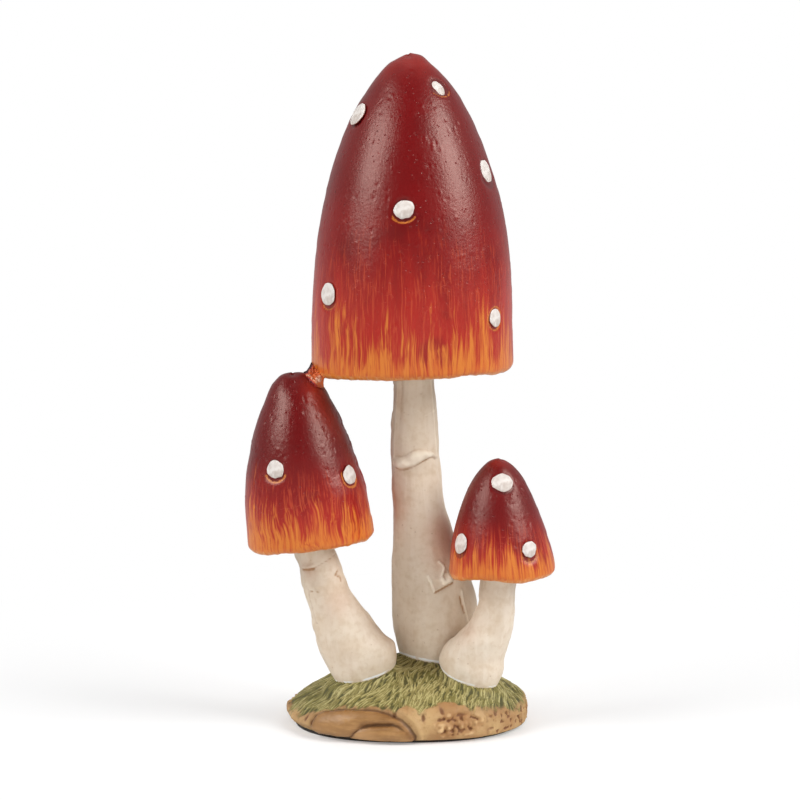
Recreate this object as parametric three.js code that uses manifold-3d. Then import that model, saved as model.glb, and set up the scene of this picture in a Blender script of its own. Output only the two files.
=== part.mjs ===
// Resin toadstool figurine: three toadstools of unlike height on an oval mound of earth and grass.
// Millimetres, +Z up, +X to the right and +Y away from someone who faces the front.
// The origin is the centre of the underside.
//
// Each toadstool is a stem glued into a pocket of the mound, a bell-shaped cap glued over the
// stem's spigot, a gilled plate let into the cap's underside, a steel wire through all of them,
// and raised spots that are seated in shallow pockets of the cap.
import * as THREE from "three";
import { mergeVertices } from "three/addons/utils/BufferGeometryUtils.js";
import Module from "manifold-3d";

const wasm = await Module();
wasm.setup();

// Driving dimensions

// Fits
const glueGap = 0.3; // room round whatever is glued into a pocket
const cutOver = 1; // how far a cut runs past the surface that it opens

// Felt pad
const padThickness = 0.8;
const padInset = 1.2; // from the mound's bottom edge
const padGlue = 0.1; // film between the pad and the mound

// Mound
const moundLength = 62; // along X
const moundDepth = 52; // along Y
const moundHeight = 16; // from its underside to the crown of the dome
const moundTuck = 1; // how far the bottom edge is drawn in
const moundTuckHeight = 1.6; // where the mound is widest
const moundWall = 1.5; // height of the steep edge above that, halfway along the mound
const moundWallSkew = 0.9; // share by which the edge is higher at the right and lower at the left
const moundRounding = 2.6; // height over which the edge turns over into the dome
const moundTurnOver = 40; // how suddenly it does so
const moundSquareness = 2.2; // 2 is an ellipse in plan, more is squarer
const domeSpread = 1.6; // 1 is a cone, more keeps the dome's top flat for longer
const domeShoulder = 0.85; // 1 is a sharp fall at the edge, less is a rounder one

// Root in the front left of the mound. A limb is a row of
// [direction from the middle of the mound, height above its underside, radius].
const rootRelief = 1; // how far it stands proud of the earth
const rootAnchor = 4; // how much farther it reaches into the mound than a round limb would
const rootLimbs = [
  [[-62, 1.7, 0.9], [-54, 3.4, 2.6], [-42, 4.6, 3.2], [-28, 5.1, 2.7], [-13, 4.5, 2.2], [-2, 2.6, 1.9], [2, 1.2, 1]],
  [[-40, 1.2, 0.8], [-31, 2, 1.8], [-17, 2.1, 2], [-5, 1.6, 1.5]],
];

// Caps and their gilled plates
const lipRounding = 1.8; // of the rim's outer edge
const gillInset = 1.4; // flat of the rim between that rounding and the plate
const gillThickness = 2.4;
const gillLift = 0.6; // how far the gills' edges sit above the rim
const gillCutDepth = 0.7; // depth of the grooves between gills
const gillMargin = 0.06; // share of the plate's width that stays ungrooved at either edge

// Spots
const spotPocketDepth = 0.7; // below the cap's surface
const spotRise = 0.5; // above the cap's surface
const spotEdge = 0.35; // bevel of the top edge
const spotCrown = 0.1; // how far the middle of a spot's top stands above its edge

// Stems and wires
const spigotShoulder = 1.1; // step from the neck, in the plate, to the spigot, in the cap
const wireBottomRise = 2; // of the wires' lower ends above the mound's underside

// The ring, what is left of a young toadstool's veil, on the tall stem
const ringShare = 0.705; // its place along the stem
const ringThickness = 2;
const ringTilt = 12; // degrees, low on the left

// Web of resin between the left cap's shoulder and the tall cap's rim
const webRadius = 1.7;
const webDrop = 4.5; // its place below the left cap's tip, and above the tall cap's rim
const webReach = 2; // how far its ends run into the two caps before they are cut back

// Toadstools. foot is the stem's place on the mound and footDepth the depth of its pocket.
// A section is [share of the stem's height, share of the way from foot to cap, half width, half depth].
// lean and nod turn the cap, in degrees: to the right and to the back.
// A spot has a direction on its cap, a share of the cap's height, and a radius.
const tall = {
  name: "tall",
  foot: [6.6, 2],
  footDepth: 6.4,
  stemHeight: 81.3,
  sections: [
    [0, 0, 5.4, 5],
    [0.06, -0.08, 8, 6.8],
    [0.11, -0.18, 9.8, 7.6],
    [0.19, -0.16, 10.9, 8],
    [0.27, -0.1, 10.9, 8],
    [0.37, 0.17, 9.5, 7.3],
    [0.47, 0.44, 7.95, 6.7],
    [0.57, 0.67, 7, 6.4],
    [0.66, 0.8, 6.5, 6.2],
    [0.76, 0.9, 6.25, 6],
    [0.92, 0.96, 5.4, 5.4],
    [1, 1, 5.2, 5.2],
  ],
  neckRadius: 5,
  spigotLength: 14,
  wireRadius: 1.5,
  wireRise: 22, // above the spigot
  capHeight: 79,
  capRadius: 25.6,
  fullness: 2.8, // 1 is a cone, more keeps the cap wide for longer
  bluntness: 1.5, // 1 is a sharp tip, more is a rounder one
  lean: -0.9,
  nod: 0,
  gills: 24,
  capX: 1.5,
  capY: 0,
  spots: [
    { turn: 45, height: 0.898, radius: 2.6 },
    { turn: -63.5, height: 0.818, radius: 3 },
    { turn: 67.5, height: 0.633, radius: 3.1 },
    { turn: -4.5, height: 0.524, radius: 2.6 },
    { turn: -56, height: 0.255, radius: 3.1 },
    { turn: 54, height: 0.176, radius: 2.5 },
    { turn: 150, height: 0.79, radius: 2.8 },
    { turn: -138, height: 0.6, radius: 3 },
    { turn: 118, height: 0.38, radius: 2.7 },
    { turn: -170, height: 0.3, radius: 3 },
    { turn: -108, height: 0.165, radius: 2.6 },
  ],
};

const left = {
  name: "left",
  foot: [-11.7, -8],
  footDepth: 6,
  sections: [
    [0, 0, 4.6, 4.4],
    [0.12, 0, 7, 6],
    [0.2, 0, 8.7, 6.9],
    [0.27, 0.03, 9.6, 7.4],
    [0.34, 0.11, 9.7, 7.5],
    [0.42, 0.27, 8.6, 7],
    [0.51, 0.43, 7.4, 6.4],
    [0.61, 0.61, 6.4, 5.9],
    [0.71, 0.75, 5.7, 5.4],
    [0.85, 0.86, 5.2, 5.1],
    [1, 1, 5.1, 5],
  ],
  neckRadius: 4.7,
  spigotLength: 8,
  wireRadius: 1,
  wireRise: 10,
  capHeight: 42.9,
  capRadius: 15.75,
  fullness: 2.2,
  bluntness: 1.82,
  lean: -5.6,
  nod: 1.5,
  gills: 20,
  tipReach: 6, // from the tall cap's rim out to this cap's tip
  tipRise: -0.2, // of this cap's tip above the tall cap's rim
  tipTurn: -72.5, // direction of the tip from the tall cap's axis
  spots: [
    { turn: -26.5, height: 0.492, radius: 2.4 },
    { turn: 55.5, height: 0.403, radius: 2.5 },
    { turn: 140, height: 0.58, radius: 2.4 },
    { turn: -130, height: 0.34, radius: 2.5 },
  ],
};

const right = {
  name: "right",
  foot: [16.5, -9.5],
  footDepth: 6,
  stemHeight: 34.1,
  sections: [
    [0, 0, 4.6, 4.4],
    [0.14, 0.03, 6.4, 5.7],
    [0.24, 0.02, 7.8, 6.5],
    [0.33, 0, 8.15, 6.8],
    [0.42, 0.14, 7.9, 6.6],
    [0.5, 0.37, 7, 6.1],
    [0.6, 0.66, 5.5, 5.2],
    [0.69, 0.79, 4.8, 4.7],
    [0.78, 0.85, 4.4, 4.4],
    [0.9, 0.9, 4.4, 4.4],
    [1, 1, 4.5, 4.4],
  ],
  neckRadius: 4.1,
  spigotLength: 6,
  wireRadius: 1,
  wireRise: 7,
  capHeight: 29,
  capRadius: 13.35,
  fullness: 1.6,
  bluntness: 1.75,
  lean: -1.5,
  nod: 1,
  gills: 16,
  stemClearance: 1, // between the tall stem and the edge of this cap
  awayTurn: 53, // direction of this cap from the tall stem
  spots: [
    { turn: 6, height: 0.826, radius: 2.5 },
    { turn: -58.5, height: 0.3, radius: 2.6 },
    { turn: 33.5, height: 0.259, radius: 2.1 },
    { turn: 130, height: 0.52, radius: 2.3 },
    { turn: -150, height: 0.36, radius: 2.4 },
  ],
};

// Fineness of the surfaces
const capSides = 32;
const capRings = 9;
const lipRings = 3;
const stemSides = 16;
const stemRings = 14;
const moundSides = 48;
const moundShares = [1, 0.985, 0.96, 0.92, 0.84, 0.72, 0.56, 0.36, 0]; // of the way out
const rootSides = 10;
const rootSteps = 10;
const spotSides = 12;
const ringSides = 6;
const webSides = 8;
const wireSides = 8;
const wireSteps = 10;

// Colours and finishes
const lacquer = { color: 0x8a2422, roughness: 0.38, metalness: 0 };
const spotPaint = { color: 0xe8e0d8, roughness: 0.55, metalness: 0 };
const creamPaint = { color: 0xd8c8b0, roughness: 0.6, metalness: 0 };
const orangePaint = { color: 0xda773c, roughness: 0.45, metalness: 0 };
const moundPaint = { color: 0x9a8a58, roughness: 0.7, metalness: 0 };
const steel = { color: 0x9a9a98, roughness: 0.4, metalness: 1 };
const felt = { color: 0x2c2a28, roughness: 1, metalness: 0 };

// Levels and directions
const moundBottom = padThickness + padGlue;
const wireBottom = moundBottom + wireBottomRise;
const radians = THREE.MathUtils.degToRad;
const right3 = new THREE.Vector3(1, 0, 0);
const back3 = new THREE.Vector3(0, 1, 0);
const up3 = new THREE.Vector3(0, 0, 1);

// A direction in plan, turned from the front towards the right.
function facing(degrees) {
  return new THREE.Vector3(Math.sin(radians(degrees)), -Math.cos(radians(degrees)), 0);
}

// Helpers

function named(name, geometry, look) {
  const mesh = new THREE.Mesh(geometry, new THREE.MeshStandardMaterial(look));
  mesh.name = name;
  return mesh;
}

// A closed geometry as a solid, for joining and cutting.
function solidOf(geometry) {
  const bare = new THREE.BufferGeometry();
  bare.setAttribute("position", geometry.getAttribute("position"));
  bare.setIndex(geometry.index);
  const merged = mergeVertices(bare, 1e-4);
  const mesh = new wasm.Mesh({
    numProp: 3,
    vertProperties: merged.getAttribute("position").array,
    triVerts: new Uint32Array(merged.index.array),
  });
  return new wasm.Manifold(mesh);
}

function geometryOf(solid) {
  const mesh = solid.getMesh();
  const geometry = new THREE.BufferGeometry();
  geometry.setAttribute("position", new THREE.BufferAttribute(new Float32Array(mesh.vertProperties), 3));
  geometry.setIndex(new THREE.BufferAttribute(new Uint32Array(mesh.triVerts), 1));
  geometry.computeVertexNormals();
  return geometry;
}

// A profile of [radius, height] pairs turned about Z, with the material on its left.
function turned(profile, sides) {
  const points = profile.map(([radius, height]) => new THREE.Vector2(radius, height));
  return new THREE.LatheGeometry(points, sides).rotateX(Math.PI / 2);
}

// A cylinder about Z between two heights.
function post(radius, bottom, top, sides) {
  return turned([[0, bottom], [radius, bottom], [radius, top], [0, top]], sides);
}

// A ring of points round a middle, in the plane of two directions.
function circle(middle, across, along, wide, deep, sides) {
  const points = [];
  for (let side = 0; side < sides; side++) {
    const angle = (side / sides) * 2 * Math.PI;
    const point = middle.clone().addScaledVector(across, wide * Math.cos(angle));
    points.push(point.addScaledVector(along, deep * Math.sin(angle)));
  }
  return points;
}

// A closed skin over a stack of rings that all have the same number of points.
function lofted(rings) {
  const sides = rings[0].length;
  const middle = (ring) => ring.reduce((sum, point) => sum.add(point), new THREE.Vector3()).divideScalar(sides);
  const points = [...rings.flat(), middle(rings[0]), middle(rings.at(-1))];
  const bottomMiddle = rings.length * sides;
  const topMiddle = bottomMiddle + 1;
  const topRing = bottomMiddle - sides;
  const faces = [];
  for (let side = 0; side < sides; side++) {
    const next = (side + 1) % sides;
    for (let low = 0; low < topRing; low += sides) {
      const high = low + sides;
      faces.push(low + side, low + next, high + next);
      faces.push(low + side, high + next, high + side);
    }
    faces.push(bottomMiddle, next, side);
    faces.push(topMiddle, topRing + side, topRing + next);
  }
  return new THREE.BufferGeometry().setFromPoints(points).setIndex(faces);
}

// Mound and pad

// Distance from the mound's middle to its widest outline, in a direction of the plan.
function outlineRadius(angle) {
  const across = Math.abs(Math.cos(angle)) / (moundLength / 2);
  const along = Math.abs(Math.sin(angle)) / (moundDepth / 2);
  return (across ** moundSquareness + along ** moundSquareness) ** (-1 / moundSquareness);
}

// Height of the mound's top at a share of the way from the middle to the outline.
function domeHeight(share, x) {
  const wall = moundWall * (1 + (moundWallSkew * x) / (moundLength / 2));
  const edge = moundTuckHeight + wall + moundRounding;
  const dome = Math.max(0, 1 - share ** domeSpread) ** domeShoulder;
  return moundBottom + edge + (moundHeight - edge) * dome - moundRounding * share ** moundTurnOver;
}

function moundTop(x, y) {
  return domeHeight(Math.hypot(x, y) / outlineRadius(Math.atan2(y, x)), x);
}

function moundBody() {
  const tuckShare = moundTuck / (moundLength / 2);
  const widest = moundBottom + moundTuckHeight;
  const profile = [[0, moundBottom], [1 - tuckShare, moundBottom], [1, widest]];
  for (const share of moundShares) profile.push([share, widest + 1]);
  const geometry = turned(profile, moundSides);
  const position = geometry.getAttribute("position");
  for (let i = 0; i < position.count; i++) {
    const share = Math.hypot(position.getX(i), position.getY(i));
    const reach = outlineRadius(Math.atan2(position.getY(i), position.getX(i)));
    const x = position.getX(i) * reach;
    const y = position.getY(i) * reach;
    const z = position.getZ(i) > widest + 0.5 ? domeHeight(share, x) : position.getZ(i);
    position.setXYZ(i, x, y, z);
  }
  return solidOf(geometry);
}

// One limb of the root: a tapering tube that lies in the mound's edge and stands proud of it.
function rootLimb(stations) {
  const middles = stations.map(([turn, height, radius]) => {
    const out = facing(turn);
    const reach = outlineRadius(Math.atan2(out.y, out.x)) - moundTuck + rootRelief - radius;
    return out.multiplyScalar(reach).setZ(moundBottom + height);
  });
  const radii = new THREE.CatmullRomCurve3(stations.map(([, , radius]) => new THREE.Vector3(radius, 0, 0)));
  const path = new THREE.CatmullRomCurve3(middles);
  const rings = [];
  for (let step = 0; step <= rootSteps; step++) {
    const middle = path.getPoint(step / rootSteps);
    const out = middle.clone().setZ(0).normalize();
    const upward = new THREE.Vector3().crossVectors(out, path.getTangent(step / rootSteps)).normalize();
    const radius = radii.getPoint(step / rootSteps).x;
    middle.addScaledVector(out, -rootAnchor);
    rings.push(circle(middle, upward, out, radius, radius + rootAnchor, rootSides));
  }
  return solidOf(lofted(rings));
}

function pad() {
  const outline = new THREE.Shape();
  for (let side = 0; side < moundSides; side++) {
    const angle = (side / moundSides) * 2 * Math.PI;
    const reach = outlineRadius(angle) - moundTuck - padInset;
    if (side === 0) outline.moveTo(reach, 0);
    else outline.lineTo(reach * Math.cos(angle), reach * Math.sin(angle));
  }
  return new THREE.ExtrudeGeometry(outline, { depth: padThickness, bevelEnabled: false });
}

// Caps, in their own frame: the rim lies in the plane of X and Y, and the axis is Z

function bellRadius(kind, height) {
  const share = Math.min(1, Math.max(0, height / kind.capHeight));
  return kind.capRadius * (1 - share ** kind.fullness) ** (1 / kind.bluntness);
}

// The outward direction of the cap's surface at a height, as radial (x) and upward (z) parts.
function bellNormal(kind, height) {
  const step = kind.capHeight / 200;
  const low = Math.max(0, height - step);
  const high = Math.min(kind.capHeight, height + step);
  const change = (bellRadius(kind, high) - bellRadius(kind, low)) / (high - low);
  return new THREE.Vector3(1, 0, -change).normalize();
}

// The outer profile from the underside of the lip to the tip, moved outwards by grow.
function bellProfile(kind, grow = 0) {
  const profile = [];
  for (let ring = 0; ring < lipRings; ring++) {
    const angle = (ring / lipRings) * (Math.PI / 2);
    const height = lipRounding * (1 - Math.cos(angle));
    const inset = lipRounding * (1 - Math.sin(angle));
    profile.push([bellRadius(kind, height) - inset + grow * Math.sin(angle), height - grow * Math.cos(angle)]);
  }
  for (let ring = 0; ring < capRings; ring++) {
    const share = Math.sin((ring / capRings) * (Math.PI / 2));
    const height = lipRounding + (kind.capHeight - lipRounding) * share;
    const normal = bellNormal(kind, height);
    profile.push([bellRadius(kind, height) + grow * normal.x, height + grow * normal.z]);
  }
  profile.push([0, kind.capHeight + grow]);
  return profile;
}

function plateRadius(kind) {
  return kind.capRadius - lipRounding - gillInset - glueGap;
}

function spigotRadius(kind) {
  return kind.neckRadius - spigotShoulder;
}

// Where a spot sits: a point on the cap's surface and the direction it faces.
function spotSeat(kind, spot) {
  const out = facing(spot.turn);
  const height = spot.height * kind.capHeight;
  const normal = bellNormal(kind, height);
  return {
    point: out.clone().multiplyScalar(bellRadius(kind, height)).setZ(height),
    turn: new THREE.Quaternion().setFromUnitVectors(up3, out.clone().multiplyScalar(normal.x).setZ(normal.z)),
  };
}

function capBody(kind) {
  const plateTop = gillLift + gillThickness + glueGap;
  const socket = spigotRadius(kind) + glueGap;
  const socketTop = kind.spigotLength + glueGap;
  const hole = kind.wireRadius + glueGap;
  const holeTop = socketTop + kind.wireRise + glueGap;
  const profile = [
    [0, holeTop],
    [hole, holeTop],
    [hole, socketTop],
    [socket, socketTop],
    [socket, plateTop],
    [plateRadius(kind) + glueGap, plateTop],
    [plateRadius(kind) + glueGap, 0],
    ...bellProfile(kind),
  ];
  let body = solidOf(turned(profile, capSides));
  for (const spot of kind.spots) {
    const seat = spotSeat(kind, spot);
    const pocket = post(spot.radius + glueGap, -spotPocketDepth, spot.radius + cutOver, spotSides);
    pocket.applyQuaternion(seat.turn).translate(seat.point.x, seat.point.y, seat.point.z);
    body = body.subtract(solidOf(pocket));
  }
  return geometryOf(body);
}

// The gilled plate: a ring whose underside is cut by radial grooves.
function gillPlate(kind) {
  const inner = kind.neckRadius + glueGap;
  const outer = plateRadius(kind);
  const margin = gillMargin * (outer - inner);
  const top = gillLift + gillThickness;
  const profile = [
    [inner, top],
    [inner, gillLift],
    [inner + margin, gillLift],
    [outer - margin, gillLift],
    [outer, gillLift],
    [outer, top],
    [inner, top],
  ];
  const geometry = turned(profile, 2 * kind.gills);
  const position = geometry.getAttribute("position");
  for (let i = 0; i < position.count; i++) {
    const radius = Math.hypot(position.getX(i), position.getY(i));
    const grooved = radius > inner + margin / 2 && radius < outer - margin / 2;
    const angle = Math.atan2(position.getY(i), position.getX(i)) + 2 * Math.PI;
    const side = Math.round((angle / Math.PI) * kind.gills);
    if (grooved && side % 2 === 1) position.setZ(i, gillLift + gillCutDepth);
  }
  return geometry;
}

// A spot, standing over its pocket's floor with the glue's thickness below it.
function spotButton(spot) {
  const profile = [
    [0, glueGap - spotPocketDepth],
    [spot.radius, glueGap - spotPocketDepth],
    [spot.radius, spotRise - spotEdge],
    [spot.radius - spotEdge, spotRise],
    [0, spotRise + spotCrown],
  ];
  return turned(profile, spotSides);
}

function capGroup(kind, place) {
  const group = new THREE.Group();
  group.position.copy(place.seat);
  group.quaternion.copy(place.turn);
  group.add(named(`${kind.name}_cap`, capBody(kind), lacquer));
  group.add(named(`${kind.name}_gills`, gillPlate(kind), creamPaint));
  kind.spots.forEach((spot, i) => {
    const seat = spotSeat(kind, spot);
    const button = named(`${kind.name}_spot_${i + 1}`, spotButton(spot), spotPaint);
    button.position.copy(seat.point);
    button.quaternion.copy(seat.turn);
    group.add(button);
  });
  return group;
}

// Stems and wires

function footOf(kind) {
  const [x, y] = kind.foot;
  return new THREE.Vector3(x, y, moundTop(x, y) - kind.footDepth);
}

// A toadstool's place: its stem's foot, the middle of its cap's rim, and the way the cap points.
function standing(kind, seat) {
  const turn = new THREE.Quaternion().setFromEuler(new THREE.Euler(radians(kind.nod), radians(kind.lean), 0));
  const foot = footOf(kind);
  return { foot, seat, turn, axis: up3.clone().applyQuaternion(turn), height: seat.z - foot.z };
}

function placed(geometry, place) {
  return geometry.applyQuaternion(place.turn).translate(place.seat.x, place.seat.y, place.seat.z);
}

// A value between b and c, on the smooth curve through a, b, c and d.
function smooth(a, b, c, d, part) {
  const bend = 2 * a - 5 * b + 4 * c - d + part * (3 * b - a - 3 * c + d);
  return b + 0.5 * part * (c - a + part * bend);
}

// Middle and girth of a stem at a share of its height.
function stemAt(kind, place, share) {
  const last = kind.sections.length - 1;
  const above = kind.sections.findIndex(([height]) => height >= share);
  const next = above < 1 ? (above === 0 ? 1 : last) : above;
  const section = (i) => kind.sections[Math.min(Math.max(i, 0), last)];
  const [low, high] = [section(next - 1)[0], section(next)[0]];
  const part = (share - low) / (high - low);
  const blend = (k) => {
    const [a, b, c, d] = [-2, -1, 0, 1].map((i) => section(next + i)[k]);
    return smooth(a, b, c, d, part);
  };
  const middle = place.foot.clone().lerp(place.seat, blend(1)).setZ(place.foot.z + place.height * share);
  return { middle, wide: blend(2), deep: blend(3) };
}

// The stem's skin from the foot to the rim's plane, moved outwards by grow. Its top turns with the cap.
function stemSkin(kind, place, grow = 0) {
  const rings = [];
  for (let ring = 0; ring <= stemRings; ring++) {
    const share = ring / stemRings;
    const { middle, wide, deep } = stemAt(kind, place, share);
    const turn = new THREE.Quaternion().slerp(place.turn, Math.max(0, 4 * share - 3));
    if (ring === 0) middle.z -= grow;
    if (ring === stemRings) middle.addScaledVector(place.axis, grow);
    const across = right3.clone().applyQuaternion(turn);
    const along = back3.clone().applyQuaternion(turn);
    rings.push(circle(middle, across, along, wide + grow, deep + grow, stemSides));
  }
  return solidOf(lofted(rings));
}

// A wire: plumb in the mound, along the middle of the stem, then along the cap's axis. The bore for
// it takes the same line, but is wider and longer.
function wireAlong(kind, place, radius, extra = 0) {
  const middles = [place.foot.clone().setZ(wireBottom - extra), place.foot];
  for (let step = 1; step < wireSteps; step++) middles.push(stemAt(kind, place, step / wireSteps).middle);
  for (const rise of [0, kind.spigotLength, kind.spigotLength + kind.wireRise + extra]) {
    middles.push(place.seat.clone().addScaledVector(place.axis, rise));
  }
  return lofted(middles.map((middle) => circle(middle, right3, back3, radius, radius, wireSides)));
}

function veilRing(kind, place) {
  const { middle, wide, deep } = stemAt(kind, place, ringShare);
  const ring = new THREE.TorusGeometry(1, ringThickness / 2 / wide, ringSides, stemSides);
  ring.scale(wide, deep, wide).rotateY(radians(-ringTilt)).translate(middle.x, middle.y, middle.z);
  return solidOf(ring);
}

function stemBody(kind, place) {
  const neck = post(kind.neckRadius, -kind.neckRadius / 2, gillLift + gillThickness / 2, stemSides);
  const spigot = post(spigotRadius(kind), -kind.neckRadius / 2, kind.spigotLength, stemSides);
  const bore = wireAlong(kind, place, kind.wireRadius + glueGap, cutOver);
  let stem = stemSkin(kind, place).add(solidOf(placed(neck, place))).add(solidOf(placed(spigot, place)));
  if (kind === tall) stem = stem.add(veilRing(kind, place));
  else stem = stem.subtract(stemSkin(tall, tallPlace, glueGap));
  return geometryOf(stem.subtract(solidOf(bore)));
}

// Where the toadstools stand

const tallSeat = new THREE.Vector3(tall.capX, tall.capY, footOf(tall).z + tall.stemHeight);
const tallPlace = standing(tall, tallSeat);

// The left cap's tip lies just outside the tall cap's rim, and its stem reaches up to it.
function leftSeat() {
  const tip = facing(left.tipTurn).multiplyScalar(tall.capRadius + left.tipReach).add(tallSeat);
  tip.z += left.tipRise;
  return tip.addScaledVector(standing(left, tip).axis, -left.capHeight);
}

// The right cap's edge lies just clear of the tall stem.
function rightSeat() {
  const z = footOf(right).z + right.stemHeight;
  const { middle, wide, deep } = stemAt(tall, tallPlace, (z - tallPlace.foot.z) / tallPlace.height);
  const out = facing(right.awayTurn);
  const girth = 1 / Math.hypot(out.x / wide, out.y / deep);
  return middle.addScaledVector(out, girth + right.stemClearance + right.capRadius);
}

const leftPlace = standing(left, leftSeat());
const rightPlace = standing(right, rightSeat());

// The web of resin, cut back to lie between the two caps.
function capWeb() {
  const shoulder = left.capHeight - webDrop;
  const start = leftPlace.seat.clone().addScaledVector(leftPlace.axis, shoulder);
  const toTall = tallSeat.clone().sub(start).setZ(0).normalize();
  const sideways = new THREE.Vector3().crossVectors(up3, toTall);
  start.addScaledVector(toTall, bellRadius(left, shoulder) - webReach);
  const end = tallSeat.clone().addScaledVector(toTall, webReach - bellRadius(tall, webDrop));
  end.z += webDrop;
  const rings = [start, end].map((middle) => circle(middle, toTall, sideways, webRadius, webRadius, webSides));
  let web = solidOf(lofted(rings));
  for (const [kind, place] of [[tall, tallPlace], [left, leftPlace]]) {
    const room = turned([[0, -glueGap], ...bellProfile(kind, glueGap)], capSides);
    web = web.subtract(solidOf(placed(room, place)));
  }
  return geometryOf(web);
}

// Assembly

const figurine = new THREE.Group();
let mound = moundBody();
for (const limb of rootLimbs) mound = mound.add(rootLimb(limb));
for (const [kind, place] of [[tall, tallPlace], [left, leftPlace], [right, rightPlace]]) {
  const hole = post(kind.wireRadius + glueGap, wireBottom - glueGap, place.foot.z + cutOver, wireSides);
  mound = mound.subtract(solidOf(hole.translate(place.foot.x, place.foot.y, 0)));
  mound = mound.subtract(stemSkin(kind, place, glueGap));
  figurine.add(named(`${kind.name}_stem`, stemBody(kind, place), creamPaint));
  figurine.add(named(`${kind.name}_wire`, wireAlong(kind, place, kind.wireRadius), steel));
  figurine.add(capGroup(kind, place));
}
figurine.add(named("base_mound", geometryOf(mound), moundPaint));
figurine.add(named("felt_pad", pad(), felt));
figurine.add(named("cap_web", capWeb(), orangePaint));

export default figurine;
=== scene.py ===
# %% [markdown]
# # A resin toadstool figurine
#
# The real ornament stands about 17 cm tall. A sculptor models it in clay, a rubber mould is taken
# from the clay, and resin is cast in the mould. So its surfaces have soft lumps, the pits of air
# bubbles, and thin raised seams where the two halves of the mould met. A painter then brushes
# orange and red lacquer on the caps, dabs the spots white and washes the stems and the mound.
#
# This lesson goes the same way: each form is modelled first, as a mesh, and then painted, with a
# material. Everything stands in the frame of a plain CAD model, so nothing has to be fitted.

# %% Load the plain model
import itertools
import math
from types import SimpleNamespace

import bpy
import numpy as np
from mathutils import Matrix, Vector


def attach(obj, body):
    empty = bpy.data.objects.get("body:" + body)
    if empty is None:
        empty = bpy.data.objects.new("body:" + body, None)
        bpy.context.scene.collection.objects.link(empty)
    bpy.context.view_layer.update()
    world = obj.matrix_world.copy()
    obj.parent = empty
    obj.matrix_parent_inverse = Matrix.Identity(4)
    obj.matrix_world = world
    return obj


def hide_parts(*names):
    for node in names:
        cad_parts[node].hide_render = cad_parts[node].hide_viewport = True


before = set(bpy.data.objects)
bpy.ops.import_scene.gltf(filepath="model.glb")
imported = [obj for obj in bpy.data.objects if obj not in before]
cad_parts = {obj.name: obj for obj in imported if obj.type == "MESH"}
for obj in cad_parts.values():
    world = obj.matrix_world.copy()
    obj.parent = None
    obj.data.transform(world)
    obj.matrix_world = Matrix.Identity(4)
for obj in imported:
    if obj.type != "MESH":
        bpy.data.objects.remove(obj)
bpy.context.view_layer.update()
MM = 0.001  # the forms are modelled in millimetres, and Blender works in metres
print("plain solids:", len(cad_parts))

# %% [markdown]
# ## Camera
#
# The photographer stood about 60 cm away and looked down a little, so that the ground shows as a
# flat oval. A long lens at that distance keeps the three toadstools free of perspective stretch.
# Blender gives the field of view by a focal length and the width of the sensor behind it.

# %% Camera
camera_data = bpy.data.cameras.new("camera")
camera_data.lens = 106.65
camera_data.sensor_width = 36
camera = bpy.data.objects.new("camera", camera_data)
camera.location = Vector((-1.8, -600, 152)) * MM
camera.rotation_euler = (math.radians(90 - 6.55), 0, 0)
bpy.context.scene.collection.objects.link(camera)
bpy.context.scene.camera = camera

# %% [markdown]
# ## Studio
#
# Two tall softboxes stand at the front left and front right: they give each cap its two upright
# glints, with a dark band between them. A third shines down from behind. A long low lamp in front
# fills the shadow that the tall cap throws on its stem. It is kept out of reflections, because it
# would fill the dark band as well.

# %% Softboxes
SOFTBOXES = {
    # direction from the front in degrees, distance, height, width, length and power
    "softbox_left": (-67, 1.0, 0.80, 0.68, 0.80, 10.9),
    "softbox_right": (66, 1.0, 0.80, 0.62, 0.80, 13.6),
    "softbox_top": (180, 0.35, 1.25, 0.9, 0.9, 0.6),
    "fill_front": (0, 1.0, 0.13, 1.4, 0.24, 3.4),
}
AIM = Vector((0, 0, 0.09))  # the middle of the figurine


def add_softbox(name, turn, reach, height, width, length, power):
    """A rectangular lamp that faces the middle of the figurine."""
    lamp = bpy.data.lights.new(name, "AREA")
    lamp.shape = "RECTANGLE"
    lamp.size, lamp.size_y = width, length
    lamp.energy = power
    box = bpy.data.objects.new(name, lamp)
    angle = math.radians(turn)
    box.location = (reach * math.sin(angle), -reach * math.cos(angle), height)
    box.rotation_euler = (AIM - box.location).to_track_quat("-Z", "Y").to_euler()
    bpy.context.scene.collection.objects.link(box)


for name, facts in SOFTBOXES.items():
    add_softbox(name, *facts)
bpy.data.objects["fill_front"].visible_glossy = False
print("softboxes:", len(SOFTBOXES))

# %% [markdown]
# ## Uneven surfaces
#
# Hand-modelled clay is never even. Random numbers on a coarse lattice, joined by smooth curves,
# give soft lumps of about one size. The same seed always gives the same lumps, so the figurine
# comes out alike each time the script runs. Soft steps and bumps say where a lump or a dent ends.


# %% Lumps, steps and bumps
def lumps(points, size, seed):
    """Smooth unevenness from -1 to 1 at each point, with lumps about as wide as size."""
    table = np.random.default_rng(seed).uniform(-1, 1, (32, 32, 32))
    place = np.asarray(points) / size
    cell = np.floor(place).astype(int)
    part = place - cell
    part = part * part * (3 - 2 * part)
    total = np.zeros(place.shape[:-1])
    for corner in itertools.product((0, 1), repeat=3):
        weight = np.where(corner, part, 1 - part).prod(axis=-1)
        index = np.moveaxis((cell + corner) % 32, -1, 0)
        total += weight * table[tuple(index)]
    return total


def step(value, low, high):
    """0 below low, 1 above high, and a smooth rise between them."""
    part = np.clip((value - low) / (high - low), 0, 1)
    return part * part * (3 - 2 * part)


def bump(distance, width):
    """1 where distance is 0, falling softly to 0 some widths away."""
    return np.exp(-((distance / width) ** 2))


def band(value, rise, fall):
    """0, then 1 after the two limits of a smooth rise, and 0 again after those of a fall."""
    return step(value, *rise) * step(-value, -fall[1], -fall[0])


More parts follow.
